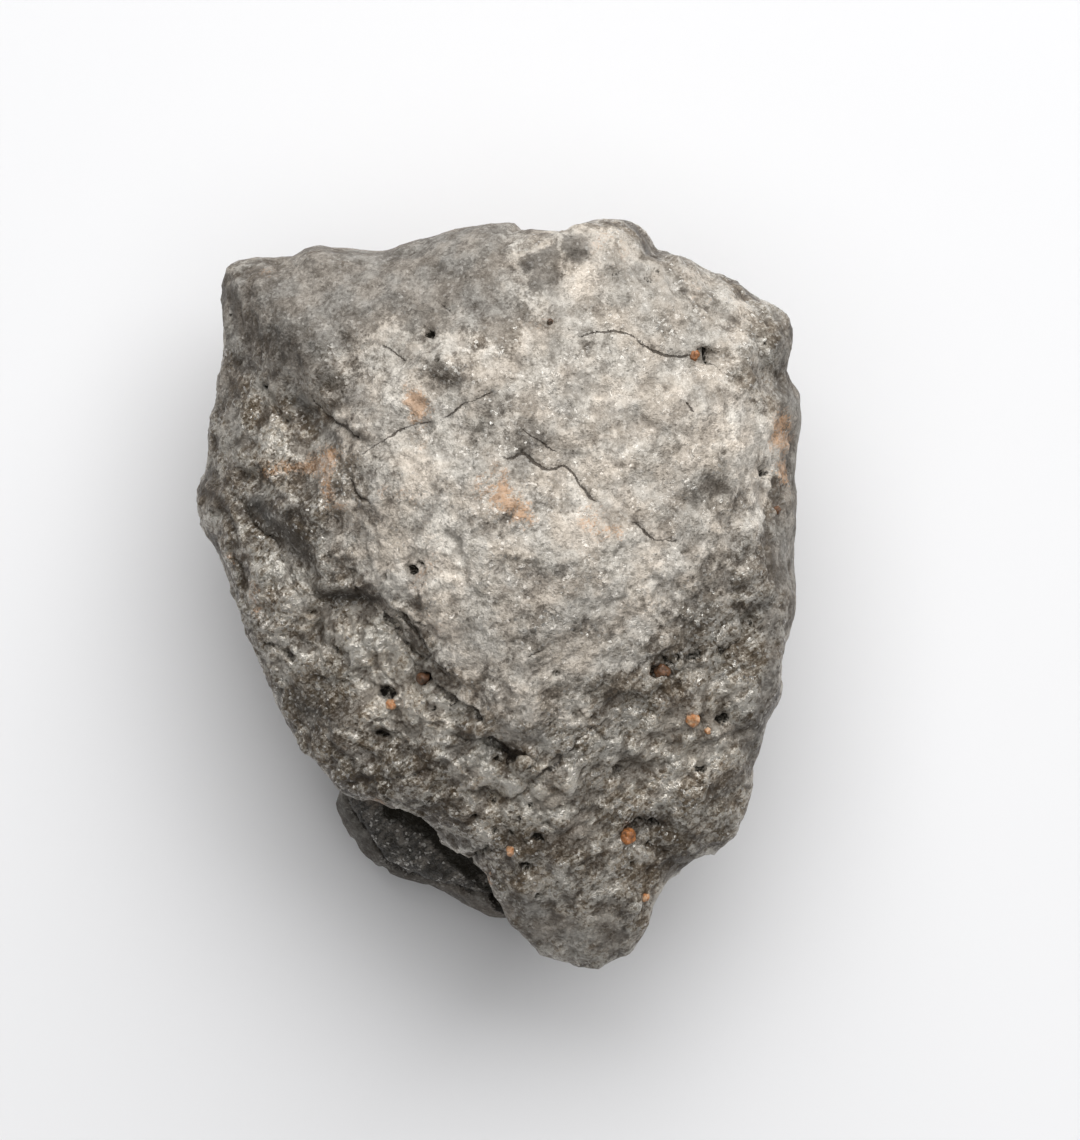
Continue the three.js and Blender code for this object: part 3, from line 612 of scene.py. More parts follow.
def blob(x, y, place):
    """1 at a sheet place, falling off as a bell with the given half length, half width and turn."""
    cx, cy, long, wide, turn = place
    middle = sheet([(cx, cy)])[0]
    dx, dy = x - middle[0], y - middle[1]
    c, s = math.cos(math.radians(turn)), math.sin(math.radians(turn))
    u = (dx * c + dy * s) / (long * DRAWING_UNIT)
    v = (dy * c - dx * s) / (wide * DRAWING_UNIT)
    return np.exp(-(u * u + v * v))


def ovals(x, y, places):
    """The strengths of ovals at sheet places, added up, each falling off as a bell."""
    return sum(strength * blob(x, y, place) for *place, strength in places)


def stone_surface(d):
    """The surface in each direction d: rounded body, recess and lobe, swells all over, relief on top.

    The body's radius is a power mean, widened to meet the outline. A bell across the tilts is taken out for
    the recess, and a half round that follows the lobe's outline is joined on by a power mean. Bent waves
    swell it along d, and the relief moves the upper side up or down. Returns the points in mm, the weight of
    the upper side (1 on top, 0 below the rim), the painted shade (how far the place lies in the recess, in
    the alcove under the overhang, in a furrow or on a ledge's riser), how far it lies on the lobe, and its
    way into the lobe's rim in mm."""
    azimuth = np.degrees(np.arctan2(d[:, 1], d[:, 0])) % 360
    polar = np.degrees(np.arctan2(np.hypot(d[:, 0], d[:, 1]), d[:, 2]))
    slant = FLUTE_SLANT * (np.clip(polar - FLUTE_BAND[1], 0, None) - np.clip(FLUTE_BAND[0] - polar, 0, None))
    r = body_radius(d, radius_at(OUTLINE_KNOTS, (azimuth + slant) % 360, True))
    p = d * r[:, None]
    p[:, :2] *= (1 + (np.interp(azimuth, *WIDENING) - 1) * ease(*WIDEN_FADE, polar))[:, None]

    recess = between(azimuth, *RECESS_ARC) * np.exp(-((polar - RECESS_POLAR) / RECESS_SPREAD) ** 2)
    bulge = np.sqrt(np.clip(1 - ((polar - LOBE_POLAR) / LOBE_SPREAD) ** 2, 0, 1))
    lobe = radius_at(LOBE_KNOTS, azimuth, False) * between(azimuth, *LOBE_ARC) * bulge
    out = np.hypot(p[:, 0], p[:, 1])
    inner = out * (1 - RECESS_SHARE * recess)
    grown = (inner**LOBE_CRISPNESS + lobe**LOBE_CRISPNESS) ** (1 / LOBE_CRISPNESS)
    p[:, :2] *= np.where(polar > LOWER_TILT, grown / np.maximum(out, TINY), 1)[:, None]
    p[:, 2] += CENTRE_HEIGHT

    broad = BROAD_SWELL[0] * lumpy(p, BROAD_SWELL[1], 1)
    creased = CREASED_SWELL[0] * (1 - np.abs(lumpy(p, CREASED_SWELL[1], 2))) ** 2
    fine = FINE_SWELL[0] * (1 - np.abs(lumpy(p, FINE_SWELL[1], 3))) ** 2
    calm = (1 - 0.55 * ease(60, 20, polar)) * (1 - 0.75 * np.exp(-((polar - 88) / 16) ** 2))
    p += d * np.array([0.8, 0.8, 1]) * ((broad - creased - fine) * calm)[:, None]

    upper = ease(*UPPER_FADE, polar)
    bend = 0.05 * np.stack([lumpy(p, 0.9, 5), lumpy(p, 0.9, 6)])
    height, painted_shade = relief(p[:, 0] + bend[0], p[:, 1] + bend[1])
    p[:, 2] += upper * height
    p += np.array(SETTLE)
    p[:, 2] = np.maximum(p[:, 2], 0)
    beyond = np.hypot(p[:, 0], p[:, 1]) - radius_at(OUTLINE_KNOTS, azimuth, True)
    # Painted shade under the overhang: the recess, and the alcove of the lobe just outside the outline,
    # fading outwards.
    alcove = between(azimuth, *ALCOVE_ARC) * between(polar, *ALCOVE_BAND) * ease(1.35, 0.15, beyond)
    painted_shade = np.maximum(painted_shade * upper, 1.3 * np.maximum(recess, alcove))
    on_lobe = ease(0.9, 1.05, lobe / np.maximum(inner, TINY)) * (polar > LOWER_TILT)
    gap = radius_at(LOBE_KNOTS, azimuth, False) - np.hypot(p[:, 0], p[:, 1])
    rim = np.interp(azimuth, *LOBE_RIM) - gap
    return p, upper, painted_shade, on_lobe, rim


def stone_grid(steps):
    """Directions on six square patches crowded towards the top, and the quads that join them, closed."""
    g = np.tan(np.linspace(-1, 1, steps + 1) * math.pi / 4)
    u, v = np.meshgrid(g, g, indexing="ij")
    one = np.ones_like(u)
    patches = [(u, v, one), (v, u, -one), (one, u, v), (-one, v, u), (v, one, u), (u, -one, v)]
    d = np.concatenate([np.stack(patch, -1).reshape(-1, 3) for patch in patches])
    d /= np.linalg.norm(d, axis=1)[:, None]
    i = np.arange(steps)[:, None] * (steps + 1) + np.arange(steps)[None, :]
    quad = np.stack([i, i + steps + 1, i + steps + 2, i + 1], -1).reshape(-1, 4)
    quads = np.concatenate([quad + k * (steps + 1) ** 2 for k in range(6)])
    _, first, same = np.unique(np.round(d, 6), axis=0, return_index=True, return_inverse=True)
    d = d[first] + np.array([0, 0, TOP_CROWDING])
    return d / np.linalg.norm(d, axis=1)[:, None], same.reshape(-1)[quads]


def vertex_normals(p, quads):
    """Each face's diagonals crossed, added up at its corners and made unit length."""
    n = np.cross(p[quads[:, 2]] - p[quads[:, 0]], p[quads[:, 3]] - p[quads[:, 1]])
    total = np.zeros_like(p)
    for k in range(4):
        for axis in range(3):
            total[:, axis] += np.bincount(quads[:, k], n[:, axis], len(p))
    return total / np.maximum(np.linalg.norm(total, axis=1), TINY)[:, None]


def chips(p, length, seed, border):
    """Flat chips: each scattered cell is a small plane with its own lean, joined over a narrow border.

    Returns the height in units of length, the depth inside the cell, the cell's hashed number and the
    distance to its middle."""
    q = p / length
    home = np.floor(q).astype(np.int64)
    first = np.full(len(q), 9.0)
    second, plane, other, value = first.copy(), first * 0, first * 0, first * 0
    for i in (-1, 0, 1):
        for j in (-1, 0, 1):
            for k in (-1, 0, 1):
                cell = home + np.array([i, j, k])
                away = q - cell - np.stack([lattice(cell, seed + s) for s in (1, 2, 3)], -1)
                lean = np.stack([lattice(cell, seed + s) for s in (5, 6, 7)], -1) - 0.5
                distance = np.linalg.norm(away, axis=-1)
                height = (away * lean).sum(-1)
                nearer = distance < first
                runner_up = ~nearer & (distance < second)
                other = np.where(nearer, plane, np.where(runner_up, height, other))
                second = np.where(nearer, first, np.where(runner_up, distance, second))
                plane = np.where(nearer, height, plane)
                value = np.where(nearer, lattice(cell, seed + 4), value)
                first = np.where(nearer, distance, first)
    inside = second - first
    own = 0.5 + 0.5 * ease(0, border, inside)
    return other + (plane - other) * own, inside * length, value, first * length


def stone_kinds(p, upper, on_lobe):
    """Shares of the surface kinds: pale dust on the top face, and a smooth grey film on the plates.

    The dust fades across its border, and a place is inside where a line from it crosses the border an odd
    number of times."""
    border = curve(DUST_BORDER + DUST_BORDER[:1], 3)
    x = p[:, 0] + 0.8 * rough(p, 1.6, 19)
    y = p[:, 1] + 0.8 * rough(p, 1.6, 21)
    distance, _, _, _ = nearest(x, y, border)
    turn = np.zeros(len(p))
    for a, b in zip(border[:-1], border[1:]):
        crosses = (a[1] > y) != (b[1] > y)
        at = a[0] + (y - a[1]) / (b[1] - a[1] + TINY) * (b[0] - a[0])
        turn += crosses & (x < at)
    inside = turn % 2 == 1
    dust = upper * ease(-1.3, 1.3, np.where(inside, distance, -distance))
    plate = np.clip(1.5 * ovals(x, y, PLATES), 0, 1)
    dust *= 1 - 0.9 * plate
    film = np.clip(plate + ovals(x, y, FILM_PATCHES), 0, 1) * ease(-0.2, 0.4, upper) * (1 - on_lobe)
    return dust, film


def strokes(x, y):
    """The streaks' tones and painted shade added up, and how smooth they leave the surface.

    Each is a bell across its curve, eased at its ends."""
    tone = np.zeros(len(x))
    calm = np.zeros(len(x))
    for width, strength, smoothness, line in SHADE_AND_TONE_STREAKS:
        distance, _, run, _ = nearest(x, y, curve(line, 3))
        share = between(run, 0, 0.2, 0.8, 1) * np.exp(-(distance / width) ** 2)
        tone += strength * share
        calm = np.maximum(calm, smoothness * share)
    return tone, calm


def crack_field(x, y, lines, wander):
    """Signed distance in mm to the nearest of some lines, and a share that fades at their ends and away."""
    best = np.full(len(x), 9.0)
    share = np.zeros(len(x))
    for strength, line in lines:
        distance, side, run, _ = nearest(x + wander[:, 0], y + wander[:, 1], curve(line, 3))
        closer = distance < np.abs(best)
        best = np.where(closer, side * distance, best)
        fade = between(run, 0, 0.12, 0.88, 1) * ease(0.26, 0.16, distance)
        share = np.where(closer, strength * fade, share)
    return best, share


def placed_pores(x, y, fray, upper):
    """Depth in mm and painted shade of the placed pores, blacker the deeper they are: each is exp(-r^4) in
    its radius, with a frayed rim.
    """
    sunk = np.zeros(len(x))
    dark = np.zeros(len(x))
    for px, py, radius, depth in PORES:
        middle = sheet([(px, py)])[0]
        ragged = 1.6 * fray[:, :2] + np.stack([x, y], -1) - middle
        pore = np.exp(-(np.linalg.norm(ragged, axis=1) / (radius * DRAWING_UNIT)) ** 4) * upper
        sunk += depth * pore
        # Painted shade: a pore turns black, more so the deeper it is.
        dark = np.maximum(dark, pore * min(1, 3.2 * depth - 0.1))
    return sunk, dark


def stone_detail(p, normal, upper, painted_shade, on_lobe, rim):
    """Chips, nuggets, grain, pits, hairline cracks and placed pores, each a push along the normals.

    Chips and grain fade where dust, film or a stroke leaves the stone smooth. A pit is exp(-r^4) about the
    middle of its cell, and a crack is a bell across its line. Returns the push in mm and the masks that
    colour the surface, among them painted shade: darker hollows and lobe, black pores, pits and recess,
    and patches of painted light and shade."""
    dust, film = stone_kinds(p, upper, on_lobe)
    x, y = p[:, 0], p[:, 1]
    stroke, calm = strokes(x + 0.12 * rough(p, 0.8, 31), y + 0.12 * rough(p, 0.8, 35))
    smooth = np.clip(np.maximum(np.maximum(0.5 * dust, calm * upper), 0.7 * film) + 0.7 * on_lobe, 0, 1)
    rugged = 1 - smooth
    nuggets = rough(p, LENGTH["nuggets"], 3, 4)
    flakes = rough(p @ FLAKE_TURN * np.array([0.35, 1.2, 1.0]), LENGTH["flakes"], 4, 3)
    grain = rough(p, LENGTH["grain"], 5, 3)
    bent = p + 0.25 * np.stack([rough(p, LENGTH["bend"], seed, 2) for seed in (25, 27, 29)], -1)
    big, big_depth, big_pick, _ = chips(bent, LENGTH["big chips"], 50, 0.14)
    small, small_depth, small_pick, _ = chips(bent, LENGTH["small chips"], 60, 0.25)
    push = PUSH["big chips"] * big * np.clip(rugged - 0.1, 0, 1) + PUSH["small chips"] * small * rugged
    push += PUSH["rolls"] * rough(p, LENGTH["rolls"], 8, 1) * rugged + PUSH["flakes"] * flakes * rugged
    push += (PUSH["nuggets"] * nuggets + PUSH["grain"] * grain) * (0.4 + 0.6 * rugged)
    seam = ease(0.10, 0.02, small_depth) * ease(0.45, 0.8, small_pick) * rugged
    split = ease(0.12, 0.02, big_depth) * ease(0.3, 0.7, big_pick) * rugged
    push -= PUSH["seams"] * seam + PUSH["splits"] * split
    push *= 0.45 + 0.55 * ease(0.05, 0.45, np.abs(normal[:, 2]))
    # Hollows between nuggets, grains and flakes, and along seams and splits, turn darker: grime, and painted
    # shade.
    hollow = ease(0.12, -0.30, 0.6 * nuggets + 0.7 * grain + 0.4 * flakes * rugged) * (0.4 + 0.6 * rugged)
    hollow = np.clip(hollow + 0.5 * seam + 0.6 * split, 0, 1)

    fray = 0.16 * np.stack([rough(p, LENGTH["fray"], seed, 2) for seed in (11, 13, 15)], -1)
    _, _, pick, near = chips(p + 1.6 * fray, LENGTH["pits"], 40, 0.14)
    pits = np.exp(-(near / (0.04 + 0.09 * pick**2)) ** 4) * (pick > 0.3) * ease(0.4, 0.8, rugged)
    push -= PUSH["pits"] * pits
    # Painted shade: hollows turn darker in furrows, on risers and in the recess; pits, and the recess below
    # the rim, turn black.
    hollow = np.maximum(hollow, np.clip(painted_shade * (0.75 + 0.8 * grain), 0, 1))
    dark = np.maximum(0.6 * pits, (upper < 0.5) * ease(0.4, 1.1, painted_shade + 0.2 * grain))

    crack, cracked = crack_field(x, y, CRACKS, 0.4 * (bent - p) + 0.35 * fray)
    rim = rim + 0.25 * rough(p, 0.8, 33)
    crack = np.where(on_lobe > 0.5, rim, crack)
    gaps = 0.1 + 1.2 * ease(0.25, 0.65, grainy(p, 0.6, 23))
    cracked = np.where(on_lobe > 0.5, 1.2, cracked * upper * np.maximum(gaps, cracked - 0.2))
    smooth_rim = on_lobe * ease(0, 0.08, rim)
    film = np.maximum(np.maximum(film, 0.75 * calm * upper), smooth_rim)
    push -= PUSH["cracks"] * cracked * np.exp(-(crack / CRACK_WIDTH) ** 2) * (1 + 1.5 * on_lobe)
    sunk, pore_shade = placed_pores(x, y, fray, upper)
    push -= sunk
    dark = np.maximum(dark, pore_shade)
    seen = np.maximum(upper, on_lobe)
    ochre = ovals(x + fray[:, 0], y + fray[:, 1], OCHRE_STAINS) * seen
    # Paler or darker patches and strokes: the stone's own tones, with painted light and shade.
    tone = 0.5 + 0.5 * (stroke + ovals(x, y, TONE_AND_SHADE_PATCHES)) * seen
    vein, veined = crack_field(x, y, VEINS, 0.4 * (bent - p))
    dust = np.maximum(dust, 1.2 * veined * ease(0.12, 0.05, np.abs(vein)))
    masks = {"dust": dust, "film": film, "ochre": np.clip(ochre, 0, 1), "tone": np.clip(tone, 0, 1),
             "dark": np.clip(dark, 0, 1), "hollow": hollow, "lobe": on_lobe - smooth_rim, "crack": crack,
             "cracked": cracked}
    return push, masks


@functools.cache
def stone_mesh(steps):
    """The skin's points in mm, its quads, the upper side's weight and the masks, made once for a grid."""
    d, quads = stone_grid(steps)
    p, upper, painted_shade, on_lobe, rim = stone_surface(d)
    normal = vertex_normals(p, quads)
    push, masks = stone_detail(p, normal, upper, painted_shade, on_lobe, rim)
    skin = p + normal * push[:, None]
    skin[:, 2] = np.maximum(skin[:, 2], 0)
    return skin, quads, upper, masks


def grain_radius(d, k):
    """Grain number k: the power mean of planes whose ways follow a golden-angle spiral, roughened."""
    total = 0
    for face in range(GRAIN_FACES):
        tilt = math.degrees(math.acos(1 - (2 * face + 1) / GRAIN_FACES))
        way = facing(GOLDEN_ANGLE * face + 31 * k, tilt)
        distance = 0.8 + 0.35 * ((0.618 * (face + 3 * k)) % 1)
        total = total + np.clip(d @ way / distance, 0, None) ** GRAIN_CRISPNESS
    return total ** (-1 / GRAIN_CRISPNESS) * (1 + 0.35 * rough(d + 7.0 * k, 0.7, 3 + k, 2))


def new_piece(name, points, faces, masks=None):
    """A smooth-shaded mesh object at the origin, with one float attribute for each mask."""
    mesh = bpy.data.meshes.new(name)
    mesh.from_pydata((points * MM).tolist(), [], faces.tolist())
    mesh.shade_smooth()
    for mask, values in (masks or {}).items():
        layer = mesh.attributes.new(mask, "FLOAT", "POINT")
        layer.data.foreach_set("value", values.astype(np.float32))
    mesh.update()
    piece = bpy.data.objects.new(name, mesh)
    bpy.context.scene.collection.objects.link(piece)
    return piece


# ---------------------------------------------------------------- materials


class Nodes:
    """Adds nodes to one tree and joins them. Apart from add and feed, each method returns a new socket."""

    def __init__(self, tree):
        self.tree = tree

    def add(self, kind, **settings):
        node = self.tree.nodes.new(kind if kind.startswith("NodeGroup") else "ShaderNode" + kind)
        for name, value in settings.items():
            setattr(node, name, value)
        return node

    def feed(self, socket, value):
        """Joins a socket, or sets its number or colour."""
        if isinstance(value, bpy.types.NodeSocket):
            self.tree.links.new(value, socket)
        else:
            socket.default_value = value

    def math(self, operation, a, b=0.0, clamp=False):
        node = self.add("Math", operation=operation, use_clamp=clamp)
        self.feed(node.inputs[0], a)
        self.feed(node.inputs[1], b)
        return node.outputs[0]

    def vector(self, operation, a, b=(0, 0, 0)):
        node = self.add("VectorMath", operation=operation)
        self.feed(node.inputs[0], a)
        self.feed(node.inputs[1], b)
        return node.outputs[0]

    def plus(self, a, b):
        return self.math("ADD", a, b)

    def minus(self, a, b):
        return self.math("SUBTRACT", a, b)

    def times(self, a, b):
        return self.math("MULTIPLY", a, b)

    def most(self, a, b):
        return self.math("MAXIMUM", a, b)

    def swing(self, value, weight):
        """How far a value lies from 0.5, times a weight."""
        return self.times(self.minus(value, 0.5), weight)

    def less(self, value, mask, weight):
        """A value made smaller, by up to this share, where a mask is 1."""
        return self.times(value, self.minus(1.0, self.times(mask, weight)))

    def blend(self, share, a, b, way="MIX"):
        node = self.add("Mix", data_type="RGBA", blend_type=way, clamp_factor=True)
        self.feed(node.inputs[0], share)
        self.feed(node.inputs[6], a)
        self.feed(node.inputs[7], b)
        return node.outputs[2]

    def span(self, value, low, high, to_low=0.0, to_high=1.0):
        node = self.add("MapRange", interpolation_type="SMOOTHSTEP")
        for socket, number in zip(node.inputs, (value, low, high, to_low, to_high)):
            self.feed(socket, number)
        return node.outputs[0]

    def noise(self, place, per_mm, detail=2.0, roughness=0.6):
        node = self.add("TexNoise")
        self.feed(node.inputs["Vector"], place)
        node.inputs["Scale"].default_value = per_mm
        node.inputs["Detail"].default_value = detail
        node.inputs["Roughness"].default_value = roughness
        return node.outputs[0]

    def lerp(self, share, a, b):
        node = self.add("Mix", data_type="FLOAT", clamp_factor=True)
        for index, value in ((0, share), (2, a), (3, b)):
            self.feed(node.inputs[index], value)
        return node.outputs[0]

    def mask(self, name):
        return self.add("Attribute", attribute_name=name).outputs["Fac"]

    def mottle(self, speckle, place, finish):
        return use_group(self, speckle, Place=place, **MOTTLE[finish]).outputs[0]

    def place_mm(self):
        """The object's own coordinates, in millimetres."""
        coordinates = self.add("TexCoord")
        mapping = self.add("Mapping")
        mapping.inputs["Scale"].default_value = (1000, 1000, 1000)
        self.feed(mapping.inputs["Vector"], coordinates.outputs["Object"])
        return mapping.outputs["Vector"]


def node_group(name, inputs, outputs):
    """An empty shader group with named sockets; each is (name, kind, default or None)."""
    group = bpy.data.node_groups.new(name, "ShaderNodeTree")
    for way, sockets in (("INPUT", inputs), ("OUTPUT", outputs)):
        for label, kind, default in sockets:
            socket = group.interface.new_socket(label, in_out=way, socket_type="NodeSocket" + kind)
            if default is not None:
                socket.default_value = default
    nodes = Nodes(group)
    return group, nodes, nodes.add("NodeGroupInput"), nodes.add("NodeGroupOutput")


def speckle_group():
    """Salt and pepper: patches, blotches, slanting flakes, grains and specks, weighed around 0.5."""
    group, n, source, sink = node_group(
        "Speckle",
        [("Place", "Vector", None), ("Patch", "Float", 0.3), ("Blotch", "Float", 0.1),
         ("Flake", "Float", 0.0), ("Grain", "Float", 0.1), ("Speck", "Float", 0.35)],
        [("Value", "Float", None)])
    place = source.outputs["Place"]
    slanted = n.add("Mapping", vector_type="TEXTURE")
    slanted.inputs["Rotation"].default_value = (0, 0, FLAKE_LEAN)
    slanted.inputs["Scale"].default_value = FLAKE_SIZE
    n.feed(slanted.inputs["Vector"], place)
    layers = [
        ("Patch", n.noise(place, 0.75)),
        ("Blotch", n.span(n.noise(place, 2.0, detail=3.0), *CONTRAST)),
        ("Flake", n.span(n.noise(slanted.outputs[0], 1.0), *CONTRAST)),
        ("Grain", n.span(n.noise(place, 5.5), *CONTRAST)),
        ("Speck", n.noise(place, 17.0)),
    ]
    total = 0.5
    for weight, layer in layers:
        total = n.plus(n.swing(layer, source.outputs[weight]), total)
    n.feed(sink.inputs["Value"], total)
    return group


def facet_group():
    """Tiny crystal faces: each scattered cell leans its own way, and a few of them glint."""
    group, n, source, sink = node_group(
        "Crystal Faces",
        [("Place", "Vector", None), ("Normal", "Vector", None), ("Per mm", "Float", 9.0),
         ("Lean", "Float", 0.5), ("Rarity", "Float", 0.85)],
        [("Normal", "Vector", None), ("Glint", "Float", None), ("Shade", "Float", None)])
    cell = n.add("TexVoronoi")
    n.feed(cell.inputs["Vector"], source.outputs["Place"])
    n.feed(cell.inputs["Scale"], source.outputs["Per mm"])
    centred = n.vector("SUBTRACT", cell.outputs["Color"], (0.5, 0.5, 0.5))
    lean = n.add("VectorMath", operation="SCALE")
    n.feed(lean.inputs[0], centred)
    n.feed(lean.inputs["Scale"], source.outputs["Lean"])
    unit = n.vector("NORMALIZE", n.vector("ADD", source.outputs["Normal"], lean.outputs[0]))
    split = n.add("SeparateColor")
    n.feed(split.inputs[0], cell.outputs["Color"])
    chosen = n.math("GREATER_THAN", split.outputs[2], source.outputs["Rarity"])
    n.feed(sink.inputs["Normal"], unit)
    n.feed(sink.inputs["Glint"], chosen)
    n.feed(sink.inputs["Shade"], split.outputs[0])
    return group


def shared_groups():
    """The speckle and crystal face groups, built the first time that they are asked for."""
    built = bpy.data.node_groups
    return built.get("Speckle") or speckle_group(), built.get("Crystal Faces") or facet_group()


def use_group(nodes, group, **values):
    """Places a group in a tree; underscores in the names of values stand for spaces."""
    node = nodes.add("Group")
    node.node_tree = group
    for name, value in values.items():
        nodes.feed(node.inputs[name.replace("_", " ")], value)
    return node


def new_material(name):
    material = bpy.data.materials.new(name)
    material.use_nodes = True
    nodes = Nodes(material.node_tree)
    return material, nodes, material.node_tree.nodes["Principled BSDF"]


def rgba(colour):
    return (*colour, 1.0)


def stone_material(settings):
    """Dark granular stone with silvery crystals, grey film, cream dust, ochre stains and black pores; the
    pores, pits and recess are black, and the hollows and lobe darker, as painted shade, and patches add
    painted light and shade.
    """
    material, n, shader = new_material("black_diamond")
    speckle, facets = shared_groups()
    place = n.place_mm()
    dust, film, ochre, lobe = n.mask("dust"), n.mask("film"), n.mask("ochre"), n.mask("lobe")
    # Patches and strokes that pale or darken the colour: the stone's own tones, with painted light and
    # shade.
    tone_and_shade_shift = n.minus(n.mask("tone"), 0.5)

    # Crystals of two sizes, in clusters; the smaller ones lean and glint.
    bump = n.add("Bump")
    bump.inputs["Distance"].default_value = BUMP_DEPTH
    cluster = n.lerp(n.span(n.noise(place, 0.8), 0.40, 0.66), 0.965, 0.82)
    crystal = use_group(n, facets, Place=place, Normal=bump.outputs[0], Per_mm=CRYSTALS_PER_MM, Lean=0.6,
                        Rarity=cluster)
    coarse = use_group(n, facets, Place=place, Normal=bump.outputs[0], Per_mm=COARSE_PER_MM, Lean=0.0,
                       Rarity=1.0)
    specks = n.plus(n.swing(crystal.outputs["Shade"], 0.36), n.swing(coarse.outputs["Shade"], 0.26))
    fine = n.minus(n.noise(place, 12.0), 0.5)

    # Bare stone.
    salt = n.mottle(speckle, place, "stone")
    toned = n.plus(n.plus(salt, specks), n.times(tone_and_shade_shift, 0.45))
    bare = n.blend(n.span(toned, 0.1, 1.0), rgba(settings.dark_stone), rgba(settings.pale_stone))

    # Grey film.
    veil = n.plus(n.mottle(speckle, place, "film"), n.times(specks, 0.35))
    veil = n.plus(veil, n.times(tone_and_shade_shift, 0.3))
    grey = n.blend(n.span(veil, 0.15, 0.85), rgba(settings.shaded_film), rgba(settings.bright_film))
    filmed = n.span(n.plus(film, n.swing(salt, 0.7)), 0.15, 0.75)
    filmed = n.times(filmed, n.span(film, 0.0, 0.3))
    colour = n.blend(n.times(filmed, 0.9), bare, grey)

    # Cream dust, thin under and thick over.
    cover = n.plus(n.times(dust, 0.95), n.minus(n.mottle(speckle, place, "cover"), 0.5))
    cover = n.plus(cover, tone_and_shade_shift)
    cover = n.times(n.span(cover, 0.25, 0.8), n.span(dust, 0.0, 0.5))
    powder = n.plus(n.plus(n.mottle(speckle, place, "powder"), n.times(specks, 0.6)), n.times(tone_and_shade_shift, 0.2))
    cream = n.blend(n.span(powder, 0.1, 0.9), rgba(settings.shaded_dust), rgba(settings.bright_dust))
    thin = n.blend(n.span(veil, 0.1, 0.9), rgba(settings.thin_dust), rgba(settings.shaded_dust))
    thin = n.blend(n.times(dust, 0.8), colour, thin)
    colour = n.blend(n.times(cover, 0.95), thin, cream)

    # A slight drift between cool and warm, then hollows darkened by grime and painted shade, stains, the
    # lobe darkened by its own colour and painted shade, and the paler or darker patches with painted light
    # and shade.
    tint = n.noise(place, 0.9, roughness=0.5)
    warm = n.blend(n.span(tint, 0.35, 0.65), COOL_TINT, WARM_TINT)
    colour = n.blend(1.0, colour, warm, "MULTIPLY")
    # Hollows turn towards crevice brown: grime between grains, and painted shade in furrows, on risers and
    # in the recess.
    sunk = n.plus(n.mask("hollow"), n.times(fine, 0.9))
    sunk = n.times(n.span(sunk, 0.15, 0.95), n.lerp(cover, 0.75, 0.5))
    colour = n.blend(sunk, colour, rgba(settings.crevice))
    rusty = n.plus(n.plus(ochre, n.swing(salt, 1.2)), n.times(fine, 1.8))
    stain = n.less(n.times(n.span(rusty, 0.25, 0.95), 0.7), sunk, 0.6)
    stain = n.times(stain, n.span(ochre, 0.0, 0.2))
    colour = n.blend(stain, colour, rgba(settings.ochre))
    # The lobe is darker: its own colour, and painted shade under the overhang.
    lobe_colour_and_shade = n.blend(n.span(salt, 0.2, 1.1), rgba(settings.pore), rgba(settings.thin_dust))
    colour = n.blend(n.times(lobe, 0.9), colour, lobe_colour_and_shade)
    # Patches and strokes of painted light and shade, with the stone's own tones, scale the colour.
    colour = n.blend(1.0, colour, n.plus(1.0, n.times(tone_and_shade_shift, 1.1)), "MULTIPLY")

    # Cracks, and painted shade: pores, pits and the recess under the overhang turn black.
    line = n.math("ABSOLUTE", n.plus(n.mask("crack"), n.times(fine, 0.14)))
    line = n.span(n.minus(n.times(n.mask("cracked"), 0.036), line), 0.0, 0.022)
    line = n.times(line, n.span(n.mask("cracked"), 0.0, 1.0, 0.3, 0.85))
    lumps = n.noise(place, 4.5, detail=3.0, roughness=0.65)
    frayed = n.times(n.plus(n.times(fine, 1.4), n.swing(lumps, 1.8)), n.lerp(lobe, 1.0, 0.3))
    black = n.span(n.plus(n.mask("dark"), frayed), 0.3, 0.85)
    black = n.less(n.times(black, n.span(n.mask("dark"), 0.0, 0.25, 0.0, 0.94)), stain, 0.7)
    colour = n.blend(line, colour, n.blend(lobe, rgba(settings.crevice), rgba(settings.pore)))
    colour = n.blend(black, colour, rgba(settings.pore))

    # Silvery faces shine where the stone is clean.
    soft = n.most(cover, filmed)
    clean = n.math("SUBTRACT", 1.0, n.most(n.most(black, line), sunk), clamp=True)
    silver = n.less(n.span(toned, 0.40, 0.95), soft, 0.85)
    silver = n.less(n.times(silver, clean), lobe, 1.0)
    glint = n.times(crystal.outputs["Glint"], n.times(clean, n.lerp(filmed, 1.0, 0.35)))
    shine = n.most(n.times(silver, 0.62), n.times(glint, n.lerp(cover, 0.7, 0.3)))
    colour = n.blend(shine, colour, rgba(settings.silver))

    height = n.plus(n.plus(lumps, n.times(fine, 0.5)), n.times(salt, 0.25))
    height = n.times(height, n.lerp(filmed, 1.0, 0.6))
    n.feed(bump.inputs["Height"], n.minus(height, line))
    n.feed(shader.inputs["Normal"], crystal.outputs["Normal"])
    # Painted shade: where pores, pits and the recess are black, the stone also turns metallic with a
    # near-black colour, so they lose their reflections too.
    n.feed(shader.inputs["Metallic"], n.most(shine, black))
    n.feed(shader.inputs["Roughness"], n.lerp(glint, n.lerp(soft, 0.42, 0.75), 0.22))
    n.feed(shader.inputs["Base Color"], colour)
    shader.inputs["IOR"].default_value = STONE_IOR
    return material


